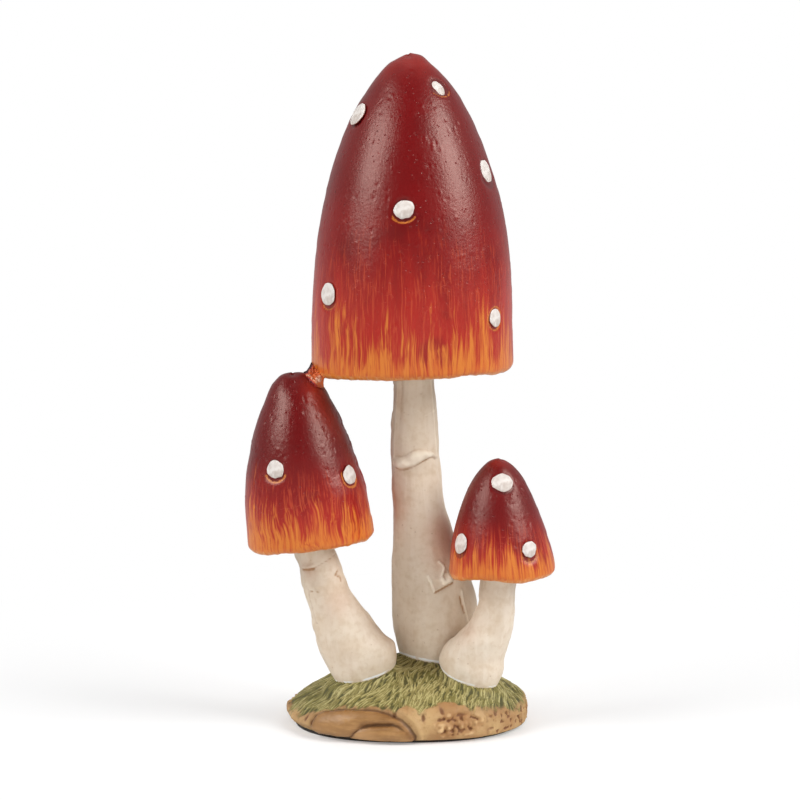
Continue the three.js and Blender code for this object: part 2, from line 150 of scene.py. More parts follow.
def layered(points, *layers):
    """Lumps of several sizes together. A layer is a height, a size and a seed."""
    return sum(height * lumps(points, size, seed) for height, size, seed in layers)


def follow(table, value):
    """The amount that a table of places and amounts gives at a value."""
    return np.interp(value, *np.array(table).T)


# %% [markdown]
# ## Skins over rings
#
# Caps, stems, spots and the mound all close round an axis, so each is made as a stack of rings
# with the same number of points. NumPy works on all the points at once, which keeps a fine mesh
# quick to make. Each point can also carry marks, such as how deep it lies, for the paint to read.
# The rings unroll into a rectangle, which is the natural texture map of such a form.


# %% Texture map of a skin
POLE_SHARE = 0.02  # of the texture map's height, for the fan of faces that closes each end


def map_heights(rows):
    """How far up the texture map each ring lies, by the distance from ring to ring."""
    lengths = np.linalg.norm(np.diff(rows, axis=0), axis=2).mean(axis=1)
    along = np.concatenate([[0], np.cumsum(lengths)])
    return POLE_SHARE + (1 - 2 * POLE_SHARE) * along / along[-1]


def wall_corners(up, sides):
    """The place on the texture map of each corner of the walls between rings at heights up."""
    low, left = np.meshgrid(up[:-1], np.arange(sides) / sides, indexing="ij")
    high = low + np.diff(up)[:, None]
    right = left + 1 / sides
    return np.stack([left, low, right, low, right, high, left, high], axis=-1).ravel()


def fan_corners(middle, ring, sides):
    """The same for a fan from a middle point to a ring: a row of triangles on the texture map."""
    left = np.arange(sides) / sides
    right = left + 1 / sides
    ends = (right, left) if middle < ring else (left, right)
    tip, base = np.full(sides, middle), np.full(sides, ring)
    return np.stack([(left + right) / 2, tip, ends[0], base, ends[1], base], axis=-1).ravel()


# %% Meshes over rings
def solid(name, points, faces, corners, marks, place=None):
    """A smooth piece from points in millimetres, faces, a texture map, and marks at the points."""
    mesh = bpy.data.meshes.new(name)
    mesh.from_pydata((points * MM).tolist(), [], faces)
    mesh.shade_smooth()
    mesh.uv_layers.new(name="OFBake").data.foreach_set("uv", corners.astype(np.float32))
    for mark, values in marks.items():
        attribute = mesh.attributes.new(mark, "FLOAT", "POINT")
        attribute.data.foreach_set("value", values.astype(np.float32))
    piece = bpy.data.objects.new(name, mesh)
    bpy.context.scene.collection.objects.link(piece)
    if place is not None:
        piece.matrix_world = place
    return piece


def wall_faces(first_rings, next_rings, sides):
    """Four-sided faces between rings, given the numbers of the rings below and above."""
    ring = np.arange(sides)
    after = (ring + 1) % sides
    low, high = first_rings[:, None] * sides, next_rings[:, None] * sides
    faces = np.stack([low + ring, low + after, high + after, high + ring], axis=-1)
    return faces.reshape(-1, 4).tolist()


def skin(name, rows, marks=None, place=None):
    """A closed skin over rings of points, with a point in the middle of each end."""
    count, sides = rows.shape[:2]
    points = np.vstack([rows.reshape(-1, 3), rows[[0, -1]].mean(axis=1)])
    rings = np.arange(count)
    walls = wall_faces(rings[:-1], rings[1:], sides)
    ring, last = np.arange(sides), (count - 1) * sides
    after = (ring + 1) % sides
    bottom, top = np.full(sides, count * sides), np.full(sides, count * sides + 1)
    floor = np.stack([bottom, after, ring], axis=-1).tolist()
    roof = np.stack([top, last + ring, last + after], axis=-1).tolist()
    up = map_heights(rows)
    fans = [fan_corners(0, up[0], sides), fan_corners(1, up[-1], sides)]
    corners = np.concatenate([wall_corners(up, sides), *fans])
    ended = {}
    for mark, values in (marks or {}).items():
        ended[mark] = np.append(values, [values[0].mean(), values[-1].mean()])
    return solid(name, points, walls + floor + roof, corners, ended, place)


def loop_skin(name, rows, marks, place):
    """A skin over rings whose last ring joins the first."""
    count, sides = rows.shape[:2]
    rings = np.arange(count)
    up = map_heights(np.concatenate([rows, rows[:1]]))
    faces = wall_faces(rings, (rings + 1) % count, sides)
    flat_marks = {mark: values.ravel() for mark, values in marks.items()}
    return solid(name, rows.reshape(-1, 3), faces, wall_corners(up, sides), flat_marks, place)


# %% Reliefs and profiles
TINY = 1e-9  # keeps a division by a length from failing


def outward(rows):
    """The direction in which the skin faces, at each point of its rings."""
    around = np.roll(rows, -1, axis=1) - np.roll(rows, 1, axis=1)
    facing = np.cross(around, np.gradient(rows, axis=0))
    return facing / np.linalg.norm(facing, axis=2, keepdims=True).clip(TINY)


def raised(rows, relief):
    """The rings with each point moved outwards by its relief."""
    return rows + outward(rows) * relief[..., None]


def even(profile, spacing):
    """A profile's points set out anew at an even spacing along it."""
    profile = np.asarray(profile, float)
    along = np.concatenate([[0], np.cumsum(np.linalg.norm(np.diff(profile, axis=0), axis=1))])
    count = max(2, round(along[-1] / spacing) + 1)
    stations = np.linspace(0, along[-1], count)
    return np.stack([np.interp(stations, along, line) for line in profile.T], axis=1)


def full_turn(sides):
    """Angles that go once round the upright axis."""
    return np.arange(sides) / sides * 2 * np.pi


def turned(profile, sides):
    """Rings of a profile of radius and height, turned about the upright axis."""
    profile = np.asarray(profile, float)
    angle = full_turn(sides)
    radius, height = profile[:, :1], profile[:, 1:]
    return np.stack([radius * np.cos(angle), radius * np.sin(angle), height + 0 * angle], axis=-1)


# %% [markdown]
# ## Paint
#
# A material is a tree of nodes, and writing one out node by node is long and hard to read. Here a
# small class wraps a node's output, and Python's own operators on it add the Math nodes. So
# `1 - worn * 0.5` in the code is a Subtract and a Multiply in the tree. Colours go through Mix
# nodes, because a Math node would turn them grey.


# %% Node trees from expressions
class Signal:
    """An output in a tree. Sums written with it become Math nodes."""

    def __init__(self, nodes, socket):
        self.nodes = nodes
        self.socket = socket

    def output(self, name):
        """Another output of the same node."""
        return Signal(self.nodes, self.socket.node.outputs[name])

    def maths(self, operation, first, second):
        return self.nodes.add("Math", {"operation": operation}, {0: first, 1: second})

    def __add__(self, other):
        return self.maths("ADD", self, other)

    def __radd__(self, other):
        return self.maths("ADD", other, self)

    def __sub__(self, other):
        return self.maths("SUBTRACT", self, other)

    def __rsub__(self, other):
        return self.maths("SUBTRACT", other, self)

    def __mul__(self, other):
        return self.maths("MULTIPLY", self, other)

    def __rmul__(self, other):
        return self.maths("MULTIPLY", other, self)

    def step(self, low, high):
        """0 below low, 1 above high, and a smooth rise between them."""
        limits = {"Value": self, "From Min": low, "From Max": high}
        return self.nodes.add("MapRange", {"interpolation_type": "SMOOTHSTEP"}, limits)


class Nodes:
    """The nodes of a material or a world, which are all added by one method."""

    def __init__(self, owner):
        owner.use_nodes = True
        self.tree = owner.node_tree
        self.tree.nodes.clear()

    def add(self, kind, settings=None, inputs=None, output=0):
        """Adds a node: its settings first, and then the values or links of its inputs."""
        node = self.tree.nodes.new("ShaderNode" + kind)
        for name, setting in (settings or {}).items():
            setattr(node, name, setting)
        for key, entry in (inputs or {}).items():
            if isinstance(entry, Signal):
                self.tree.links.new(entry.socket, node.inputs[key])
            else:
                node.inputs[key].default_value = entry
        return Signal(self, node.outputs[output]) if output is not None else None

    def end(self, kind, surface):
        """The output node, which takes a finished surface."""
        self.add(kind, inputs={"Surface": surface}, output=None)


# %% [markdown]
# A painter lays one coat over another, and so do the materials: each coat is a colour and the share
# of the surface that it covers. A share is made from noise, which is patchy like real paint, and
# from the marks at the mesh's points, which tell where a hollow or a crest was modelled.


# %% Coats of paint
def tint(red, green, blue):
    """A screen colour, from 0 to 255, as the linear colour that a shader works with."""
    shares = (np.array([red, green, blue]) / 255).tolist()
    linear = [s / 12.92 if s < 0.04045 else ((s + 0.055) / 1.055) ** 2.4 for s in shares]
    return (*linear, 1.0)


class Paint(Nodes):
    """A material, with the signals that most paints are made of."""

    def __init__(self, name):
        self.material = bpy.data.materials.new(name)
        super().__init__(self.material)
        self.place = self.add("TexCoord").output("Object")

    def mix(self, share, first, second):
        """A share of the second colour over the first."""
        return self.add("Mix", {"data_type": "RGBA"}, {0: share, 6: first, 7: second}, output=2)

    def coats(self, colour, *layers):
        """A colour with others over it in turn. A layer is a share and a screen colour."""
        for share, over in layers:
            colour = self.mix(share, colour, tint(*over))
        return colour

    def vector(self, operation, *values, output=0):
        """A Vector Math node on signals or on rows of three numbers."""
        inputs = dict(enumerate(values))
        return self.add("VectorMath", {"operation": operation}, inputs, output)

    def stretched(self, *scale):
        """The place with its axes scaled, so that noise on it is drawn out along a short axis."""
        return self.add("Mapping", {"vector_type": "POINT"}, {"Vector": self.place, "Scale": scale})

    def noise(self, size, detail=2, place=None, roughness=0.5):
        """Cloudy values round 0.5, with clouds about as wide as size in millimetres."""
        inputs = {"Vector": place or self.place, "Scale": 1 / (size * MM), "Detail": detail}
        return self.add("TexNoise", inputs={**inputs, "Roughness": roughness})

    def dots(self, size):
        """Distance from the nearest of many scattered points, about size in millimetres apart."""
        inputs = {"Vector": self.place, "Scale": 1 / (size * MM)}
        return self.add("TexVoronoi", inputs=inputs).output("Distance")

    def mark(self, name):
        """What the points of the mesh carry under that name."""
        return self.add("Attribute", {"attribute_name": name}).output("Fac")

    def finish(self, colour, roughness, relief, depth, **fixed):
        """Joins colour, roughness and a relief in millimetres to the surface."""
        bumps = {"Height": relief, "Distance": depth * MM, "Strength": 1.0}
        normal = self.add("Bump", inputs=bumps)
        looks = {"Base Color": colour, "Roughness": roughness, "Normal": normal, **fixed}
        self.end("OutputMaterial", self.add("BsdfPrincipled", inputs=looks))
        return self.material


def fit(piece, paint, slot, *nodes):
    """Paints a piece and sets it in the frame, where it stands for plain solids."""
    piece.data.materials.append(paint)
    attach(piece, "root")
    if nodes:
        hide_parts(*nodes)
    corners = np.array([piece.matrix_world @ v.co for v in piece.data.vertices]) / MM
    box = corners.min(0).round(1), corners.max(0).round(1)
    print(piece.name, len(piece.data.polygons), "faces", *box)
    return piece


# %% [markdown]
# ## The mound's shape
#
# The mound is an oval pat of clay with a steep edge and a low dome. One formula gives its outline
# and one gives its height, so that everything that stands on it can ask how high the ground is.

# %% Mound formulas
MOUND = SimpleNamespace(
    bottom=0.9, length=62, depth=52, height=16, tuck=1, tuck_height=1.6, wall=1.5, skew=0.9,
    rounding=2.6, squareness=2.2, spread=1.6, flatness=0.85, roll=40,
)


def facing(degrees):
    """A direction in plan, turned from the front towards the right."""
    angle = np.radians(degrees)
    return np.stack([np.sin(angle), -np.cos(angle), 0 * angle], axis=-1)


def turn_at(x, y):
    """The direction of a place in plan, in degrees from the front towards the right."""
    return np.degrees(np.arctan2(x, -y))


def outline_radius(angle):
    """Distance from the mound's middle to its widest outline, which is a slightly square oval."""
    across = np.abs(np.cos(angle)) / (MOUND.length / 2)
    along = np.abs(np.sin(angle)) / (MOUND.depth / 2)
    return (across**MOUND.squareness + along**MOUND.squareness) ** (-1 / MOUND.squareness)


def dome_height(share, x):
    """Height of the top at a share of the way from the middle to the outline."""
    wall = MOUND.wall * (1 + MOUND.skew * x / (MOUND.length / 2))
    edge = MOUND.tuck_height + wall + MOUND.rounding
    dome = np.maximum(0, 1 - share**MOUND.spread) ** MOUND.flatness
    rolled = MOUND.rounding * share**MOUND.roll
    return MOUND.bottom + edge + (MOUND.height - edge) * dome - rolled


def ground(x, y):
    """Height of the mound's top at a place in plan."""
    return dome_height(np.hypot(x, y) / outline_radius(np.arctan2(y, x)), x)


def slump(x, y):
    """How much lower than the plain dome the sculptor left the shoulders, to the left and right."""
    return (1.3 * step(-x, 16, 21) + 1.2 * step(x, 20, 27)) * step(y, -22, -12)


# %% [markdown]
# ## Where the toadstools stand
#
# Each toadstool is a few numbers: where its foot is, how its stem swells and bends on the way up,
# and how tall, wide and blunt its cap is. A stem's section is a share of its height, a share of the
# way from foot to cap, a half width and a half depth. A spot is a direction on the cap, a share of
# the cap's height, and a radius.

# %% The three toadstools
tall = SimpleNamespace(
    name="tall", foot=(6.6, 2), foot_depth=6.4, stem_height=81.3, neck=5, spigot=14, wire=1.5,
    wire_rise=22, cap_height=79, cap_radius=25.6, fullness=2.8, bluntness=1.5, lean=-0.9, nod=0,
    gills=24, seed=11,
    sections=[
        (0, 0, 5.4, 5), (0.06, -0.08, 8, 6.8), (0.11, -0.18, 9.8, 7.6), (0.19, -0.16, 10.9, 8),
        (0.27, -0.1, 10.9, 8), (0.37, 0.17, 9.5, 7.3), (0.47, 0.44, 7.95, 6.7),
        (0.57, 0.67, 7, 6.4), (0.66, 0.8, 6.5, 6.2), (0.76, 0.9, 6.25, 6), (0.92, 0.96, 5.4, 5.4),
        (1, 1, 5.2, 5.2),
    ],
    spots=[
        (45, 0.898, 2.6), (-63.5, 0.818, 3), (67.5, 0.633, 3.1), (-4.5, 0.524, 2.6),
        (-56, 0.255, 3.1), (54, 0.176, 2.5), (150, 0.79, 2.8), (-138, 0.6, 3), (118, 0.38, 2.7),
        (-170, 0.3, 3), (-108, 0.165, 2.6),
    ],
)
left = SimpleNamespace(
    name="left", foot=(-11.7, -8), foot_depth=6, neck=4.7, spigot=8, wire=1, wire_rise=10,
    cap_height=42.9, cap_radius=15.75, fullness=2.2, bluntness=1.82, lean=-5.6, nod=1.5, gills=20,
    seed=23, tip_reach=6, tip_rise=-0.2, tip_turn=-72.5,
    sections=[
        (0, 0, 4.6, 4.4), (0.12, 0, 7, 6), (0.2, 0, 8.7, 6.9), (0.27, 0.03, 9.6, 7.4),
        (0.34, 0.11, 9.7, 7.5), (0.42, 0.27, 8.6, 7), (0.51, 0.43, 7.4, 6.4),
        (0.61, 0.61, 6.4, 5.9), (0.71, 0.75, 5.7, 5.4), (0.85, 0.86, 5.2, 5.1), (1, 1, 5.1, 5),
    ],
    spots=[(-26.5, 0.492, 2.4), (55.5, 0.403, 2.5), (140, 0.58, 2.4), (-130, 0.34, 2.5)],
)
right = SimpleNamespace(
    name="right", foot=(16.5, -9.5), foot_depth=6, stem_height=34.1, neck=4.1, spigot=6, wire=1,
    wire_rise=7, cap_height=29, cap_radius=13.35, fullness=1.6, bluntness=1.75, lean=-1.5, nod=1,
    gills=16, seed=37, clearance=1, away=53,
    sections=[
        (0, 0, 4.6, 4.4), (0.14, 0.03, 6.4, 5.7), (0.24, 0.02, 7.8, 6.5), (0.33, 0, 8.15, 6.8),
        (0.42, 0.14, 7.9, 6.6), (0.5, 0.37, 7, 6.1), (0.6, 0.66, 5.5, 5.2),
        (0.69, 0.79, 4.8, 4.7), (0.78, 0.85, 4.4, 4.4), (0.9, 0.9, 4.4, 4.4), (1, 1, 4.5, 4.4),
    ],
    spots=[
        (6, 0.826, 2.5), (-58.5, 0.3, 2.6), (33.5, 0.259, 2.1), (130, 0.52, 2.3),
        (-150, 0.36, 2.4),
    ],
)
TOADSTOOLS = (tall, left, right)


# %% Seats of the caps
def cap_turn(kind, share=1.0):
    """The way a cap is tipped, or a share of it."""
    nod = Matrix.Rotation(math.radians(kind.nod * share), 3, "X")
    return np.array(nod @ Matrix.Rotation(math.radians(kind.lean * share), 3, "Y"))


def foot_of(kind):
    x, y = kind.foot
    return np.array([x, y, ground(x, y) - kind.foot_depth])


def stem_at(kind, share):
    """Middles and half widths and depths of a stem at shares of its height, on smooth curves."""
    table = np.array(kind.sections)
    last = len(table) - 1
    after = np.clip(np.searchsorted(table[:, 0], share), 1, last)
    low, high = table[after - 1, 0], table[after, 0]
    part = ((share - low) / (high - low))[..., None]
    a, b, c, d = (table[np.clip(after + k, 0, last), 1:] for k in (-2, -1, 0, 1))
    bend = 2 * a - 5 * b + 4 * c - d + part * (3 * b - a - 3 * c + d)
    way, wide, deep = np.moveaxis(b + 0.5 * part * (c - a + part * bend), -1, 0)
    foot, seat = foot_of(kind), kind.seat
    middle = foot + way[..., None] * (seat - foot)
    middle[..., 2] = foot[2] + share * (seat[2] - foot[2])
    return middle, wide, deep


def left_seat():
    """The left cap's tip lies just outside the tall cap's rim."""
    out = tall.cap_radius + left.tip_reach
    tip = tall.seat + facing(left.tip_turn) * out + (0, 0, left.tip_rise)
    return tip - cap_turn(left)[:, 2] * left.cap_height


def right_seat():
    """The right cap's edge lies just clear of the tall stem."""
    height = foot_of(right)[2] + right.stem_height
    share = (height - foot_of(tall)[2]) / (tall.seat[2] - foot_of(tall)[2])
    middle, wide, deep = stem_at(tall, np.array(share))
    out = facing(right.away)
    girth = 1 / np.hypot(out[0] / wide, out[1] / deep)
    return middle + out * (girth + right.clearance + right.cap_radius)


tall.seat = np.array([1.5, 0, foot_of(tall)[2] + tall.stem_height])
left.seat = left_seat()
right.seat = right_seat()
for kind in TOADSTOOLS:
    tipped = Matrix(cap_turn(kind).tolist()).to_4x4()
    kind.place = Matrix.Translation(Vector(kind.seat * MM)) @ tipped
    print(kind.name, "cap sits at", kind.seat.round(1))

# %% [markdown]
# ## Relief of the mound
#
# A sculptor works the mound in layers: a thick root folded over at the front left, a patch of
# crumbled clay beside it, and grass scored all over the top with a needle. Before that the hand has
# pressed the shoulders lower and cut the edge back underneath. Here each layer is a height in
# millimetres for every point of a fine skin, and the layers add up. The marks that each layer
# leaves behind tell the paint later where the root, the hollows and the blades are.

# %% The bare mound as rings
GROUND_SIDES = 600
GROUND_SPACING = 0.27  # about one pixel of the picture
EDGE_REACH = 26  # millimetres from the mound's middle to its edge at the front
EDGE_RINGS = 7  # in the tuck under the edge, and with the one they share in the wall above it
CUT_STEPS = 4000  # along the dome, before even rings are taken from it
TUCK_SHARE = MOUND.tuck / (MOUND.length / 2)


def mound_rings():
    """Rings from the underside round the edge to the crown, and each one's share of the way out."""
    angle = full_turn(GROUND_SIDES)
    reach = outline_radius(angle)
    widest = MOUND.bottom + MOUND.tuck_height
    rise = np.linspace(0, 1, EDGE_RINGS)[:, None]
    dense = 1 - np.linspace(0, 0.99, CUT_STEPS) ** 2
    cut = even(np.stack([dense * MOUND.depth / 2, dome_height(dense, 0)], axis=1), GROUND_SPACING)
    tucked, upright = 1 - TUCK_SHARE * (1 - rise), np.ones((EDGE_RINGS - 1, 1))
    shares = np.concatenate([tucked, upright, cut[1:, :1] / (MOUND.depth / 2)])
    across, along = shares * reach * np.cos(angle), shares * reach * np.sin(angle)
    height = dome_height(shares, across)
    height[:EDGE_RINGS] = MOUND.bottom + MOUND.tuck_height * rise
    wall = slice(EDGE_RINGS, 2 * EDGE_RINGS - 1)
    height[wall] = widest + rise[1:] * (height[wall] - widest)
    return np.stack([across, along, height], axis=-1), shares + 0 * across


def hand_cut(rows, shares):
    """The rings with slumped shoulders, their edge cut back at the left and full at the right."""
    x, y, z = np.moveaxis(rows, -1, 0)
    turn = turn_at(x, y)
    drop = slump(x, y) * step(shares, 0.5, 0.8) * step(z, 3.5, 6)
    cut_back = 0.9 * band(-turn, (22, 40), (85, 105))
    swollen = 0.7 * band(turn, (20, 40), (85, 105))
    outwards = (swollen - cut_back) * step(-z, -3, -1.2) / np.hypot(x, y).clip(1)
    return np.stack([x * (1 + outwards), y * (1 + outwards), z - drop], axis=-1)


ground_rows, ground_shares = mound_rings()
ground_rows = hand_cut(ground_rows, ground_shares)
ground_turn = turn_at(ground_rows[..., 0], ground_rows[..., 1])
print("mound rings:", ground_rows.shape[:2])

# %% Root
UNROLLED = math.radians(1) * EDGE_REACH  # millimetres along the edge for a degree of direction
# A limb is a row of direction in degrees, height above the table and radius.
ROOT_LIMBS = [
    [
        (-49.5, 2.7, 2.0), (-46, 3.9, 3.0), (-40, 4.05, 3.5), (-34, 4.4, 3.5), (-30, 5.1, 2.85),
        (-27, 5.8, 2.2), (-23, 6.25, 1.75), (-18, 6.4, 1.6), (-12, 6.2, 1.3), (-8, 5.9, 1.0),
        (-4, 5.2, 0.9), (0, 3.7, 0.8), (3, 1.8, 0.7),
    ],
    [
        (-36, 0.6, 0.4), (-31, 1.2, 1.2), (-26, 1.9, 1.9), (-20, 2.3, 2.2), (-14, 2.5, 2.3),
        (-8, 2.5, 2.4), (-3, 2.0, 2.0), (1, 1.4, 1.4),
    ],
    [
        (-15, 9.4, 0.3), (-8, 8.9, 0.6), (-2, 7.8, 0.7), (3.5, 6.1, 0.7), (6.5, 4.0, 0.65),
        (8, 1.4, 0.5),
    ],
]
ROOT_RELIEF = 1.15  # of a limb with the full radius
FULL_RADIUS = 2.5
LIMB_STEPS = 70
FAR = 9.0  # millimetres from any limb


def limb_relief(stations, turn, height):
    """Relief of one limb, and the distance from each point to the limb's edge, inside below 0."""
    table = np.array(stations)
    fine = np.linspace(0, len(table) - 1, LIMB_STEPS)
    turns, heights, radii = (np.interp(fine, np.arange(len(table)), line) for line in table.T)
    edge = np.full(turn.shape, FAR)
    relief = np.zeros(turn.shape)
    for station_turn, station_height, radius in zip(turns, heights, radii):
        distance = np.hypot((turn - station_turn) * UNROLLED, height - station_height)
        edge = np.minimum(edge, distance - radius)
        crown = ROOT_RELIEF * math.sqrt(radius / FULL_RADIUS)
        relief = np.maximum(relief, crown * np.sqrt(np.clip(1 - (distance / radius) ** 2, 0, 1)))
    return relief, edge


outer = ground_shares > 0.8
limbs = [limb_relief(limb, ground_turn, ground_rows[..., 2]) for limb in ROOT_LIMBS]
(upper, upper_edge), (lower, lower_edge), (bank, _) = limbs
root_edge = np.minimum(upper_edge, lower_edge)
joined = step(ground_turn, -26, -14)
both_limbs = np.maximum(upper, lower)
both_limbs += (np.minimum(np.hypot(upper, lower), ROOT_RELIEF) - both_limbs).clip(0) * joined
root_relief = np.maximum(both_limbs, 0.8 * bank) * outer
root_mark = step(-root_edge, -0.3, 0.4) * outer
both = (upper > 0.05) & (lower > 0.05)
crease, between = (both * bump(upper - lower, width) * (1 - joined) for width in (0.16, 0.45))
# crease and shade: the root's edges and the fold between its lobes, painted darker, partly as
# painted shade
crease_mark = np.maximum(bump(root_edge, 0.5), crease) * outer
shade_mark = np.maximum(0.65 * bump(root_edge, 1.3), between) * outer
# painted highlight: the higher a point of the root stands, the lighter it is painted
root_highlight_mark = np.maximum(upper, lower) / ROOT_RELIEF * root_mark
low_lobe = step(lower - upper, 0, 0.3) * root_mark * (1 - joined)
print("root stands proud by", root_relief.max().round(2), "mm")

# %% Crumbled clay, pits and soft lumps in the earth
# Single gouges: a direction in degrees and a height.
GOUGES = [(-59, 4.2), (-54, 3.3), (-7.5, 7.3), (9, 6.6), (20, 8.1)]
clay_mark = bump(np.hypot((ground_turn - 27.5) / 15.5, (ground_rows[..., 2] - 4.7) / 3.6), 1.0)
clay_mark = step(clay_mark + 0.16 * lumps(ground_rows, 2.2, 5), 0.36, 0.62) * outer
crumbs = 0.6 * np.abs(lumps(ground_rows, 1.7, 6)) + 0.3 * lumps(ground_rows, 0.8, 7)
at_right = band(ground_turn, (38, 52), (96, 112))
stipple = step(lumps(ground_rows, 0.95, 8), 0.15, 0.45) * at_right
gouges = sum(
    bump(np.hypot((ground_turn - turn) * UNROLLED / 0.5, (ground_rows[..., 2] - height) / 0.9), 1.0)
    for turn, height in GOUGES
)
earth_relief = layered(ground_rows, (0.28, 6, 9), (0.1, 2, 10))
earth_relief += clay_mark * (2.1 * crumbs - 0.5) - 0.4 * stipple - 0.6 * gouges - 0.35 * crease_mark
hollow_clay = clay_mark * step(-crumbs, -0.14, 0.04)
pit_mark = np.clip(stipple * 0.85 + gouges + 0.8 * hollow_clay, 0, 1)

# %% [markdown]
# The grass is a few thousand needle strokes. Each is a short curved blade with a raised middle, a
# little higher or lower than its neighbours, so that they overlap like thatch. Strokes that lie
# close together run about the same way, because the hand makes a row of them before it turns.

# %% Grass
# Where the grass ends: a direction in degrees, and a share of the way out.
GRASS_EDGE = [
    (-180, 0.955), (-120, 0.96), (-75, 0.972), (-58, 0.965), (-50, 0.945), (-43, 0.912),
    (-33, 0.898), (-14, 0.893), (-6, 0.925), (-1, 0.88), (7, 0.94), (16, 0.885), (24, 0.86),
    (32, 0.9), (38, 0.95), (48, 0.98), (62, 0.985), (76, 0.98), (120, 0.965), (180, 0.955),
]
BLADES = 4200
BLADE_RELIEF = 0.36


def blade_lay(x, y):
    """The way the blades run at a place: mostly downhill, but swept aside in patches."""
    place = np.array([x, y, 0.0])
    sweep = layered(place, (34, 7, 12), (20, 3, 13))
    return math.atan2(y - 5, 0.6 * x) + math.radians(float(sweep) - 34)


def lap(kind, rows):
    """How far the grass laps up round a foot: 1 at the stem, and 0 some millimetres out."""
    share = kind.foot_depth / (kind.seat[2] - foot_of(kind)[2])
    middle, wide, deep = stem_at(kind, np.array(share))
    out = np.hypot((rows[..., 0] - middle[0]) / wide, (rows[..., 1] - middle[1]) / deep) - 1
    return step(-out * min(wide, deep), -2.4, -0.4)


def grass_relief(rows, shares, turn):
    """Height of the blades at each point, and how near each point is to a blade's crest."""
    random = np.random.default_rng(14)
    relief, crest = np.zeros(shares.shape), np.zeros(shares.shape)
    for _ in range(BLADES):
        angle, share = random.uniform(-math.pi, math.pi), math.sqrt(random.uniform(0, 1))
        way, length = random.normal(0, 0.14), random.uniform(1.7, 3.1)
        half = random.uniform(0.17, 0.27)
        curl, level = random.normal(0, 0.05), random.uniform(0, 0.6)
        if share > follow(GRASS_EDGE, turn_at(math.cos(angle), math.sin(angle))) + 0.004:
            continue
        reach = outline_radius(angle) * share
        x, y = reach * math.cos(angle), reach * math.sin(angle)
        way += blade_lay(x, y)
        close = np.nonzero(np.hypot(rows[..., 0] - x, rows[..., 1] - y) < 2)
        dx, dy = rows[close][:, 0] - x, rows[close][:, 1] - y
        along = dx * math.cos(way) + dy * math.sin(way)
        across = dy * math.cos(way) - dx * math.sin(way) - curl * along**2
        reached = np.clip(1 - (2 * along / length) ** 2, 0, 1) ** 0.5
        ridge = np.clip(1 - (across / (half * reached + TINY)) ** 2, 0, 1)
        height = (level + 0.5 * ridge**0.8) * (ridge > 0) * (0.75 + 0.25 * along / length)
        higher = height > relief[close]
        relief[close] = np.where(higher, height, relief[close])
        crest[close] = np.where(higher, 0.2 + ridge * (0.3 + level), crest[close])
    return relief, crest


# How far the grass rises at each stem
tall.lap, left.lap, right.lap = 0.3, 1.0, 1.1
edge_height = dome_height(np.ones_like(ground_shares), ground_rows[..., 0])
below_edge = np.clip(edge_height - ground_rows[..., 2], 0, None) * (ground_shares > 0.97)
grass_room = follow(GRASS_EDGE, ground_turn) - (ground_shares + below_edge / EDGE_REACH)
grass_mark = step(grass_room + 0.02 * lumps(ground_rows, 1.6, 15), -0.022, 0.022)
blades, blade_crest = grass_relief(ground_rows, ground_shares, ground_turn)
mound_relief = BLADE_RELIEF * blades + (1 - grass_mark) * (earth_relief + root_relief)
mound_relief += grass_mark * (0.25 * lumps(ground_rows, 6, 9) - 0.3)
mound_relief += sum(kind.lap * lap(kind, ground_rows) for kind in TOADSTOOLS)
mound_relief *= step(ground_rows[..., 2], MOUND.bottom, MOUND.bottom + 0.6)
bare_earth = 1 - grass_mark
blend = step(grass_room + 0.03 * lumps(ground_rows, 1.6, 15), -0.05, 0.05)
mound_marks = {"grass": blend, "crest": blade_crest, "flake": clay_mark * step(crumbs, 0.3, 0.5)}
earth_marks = {
    "root": root_mark, "crown": root_highlight_mark, "crease": crease_mark, "pit": pit_mark,
    "clay": clay_mark, "low_lobe": low_lobe, "shade": shade_mark,
}
mound_marks.update({name: mark * bare_earth for name, mark in earth_marks.items()})
mound = skin("mound_sculpted", raised(ground_rows, mound_relief), mound_marks)
print("blades of grass:", BLADES)
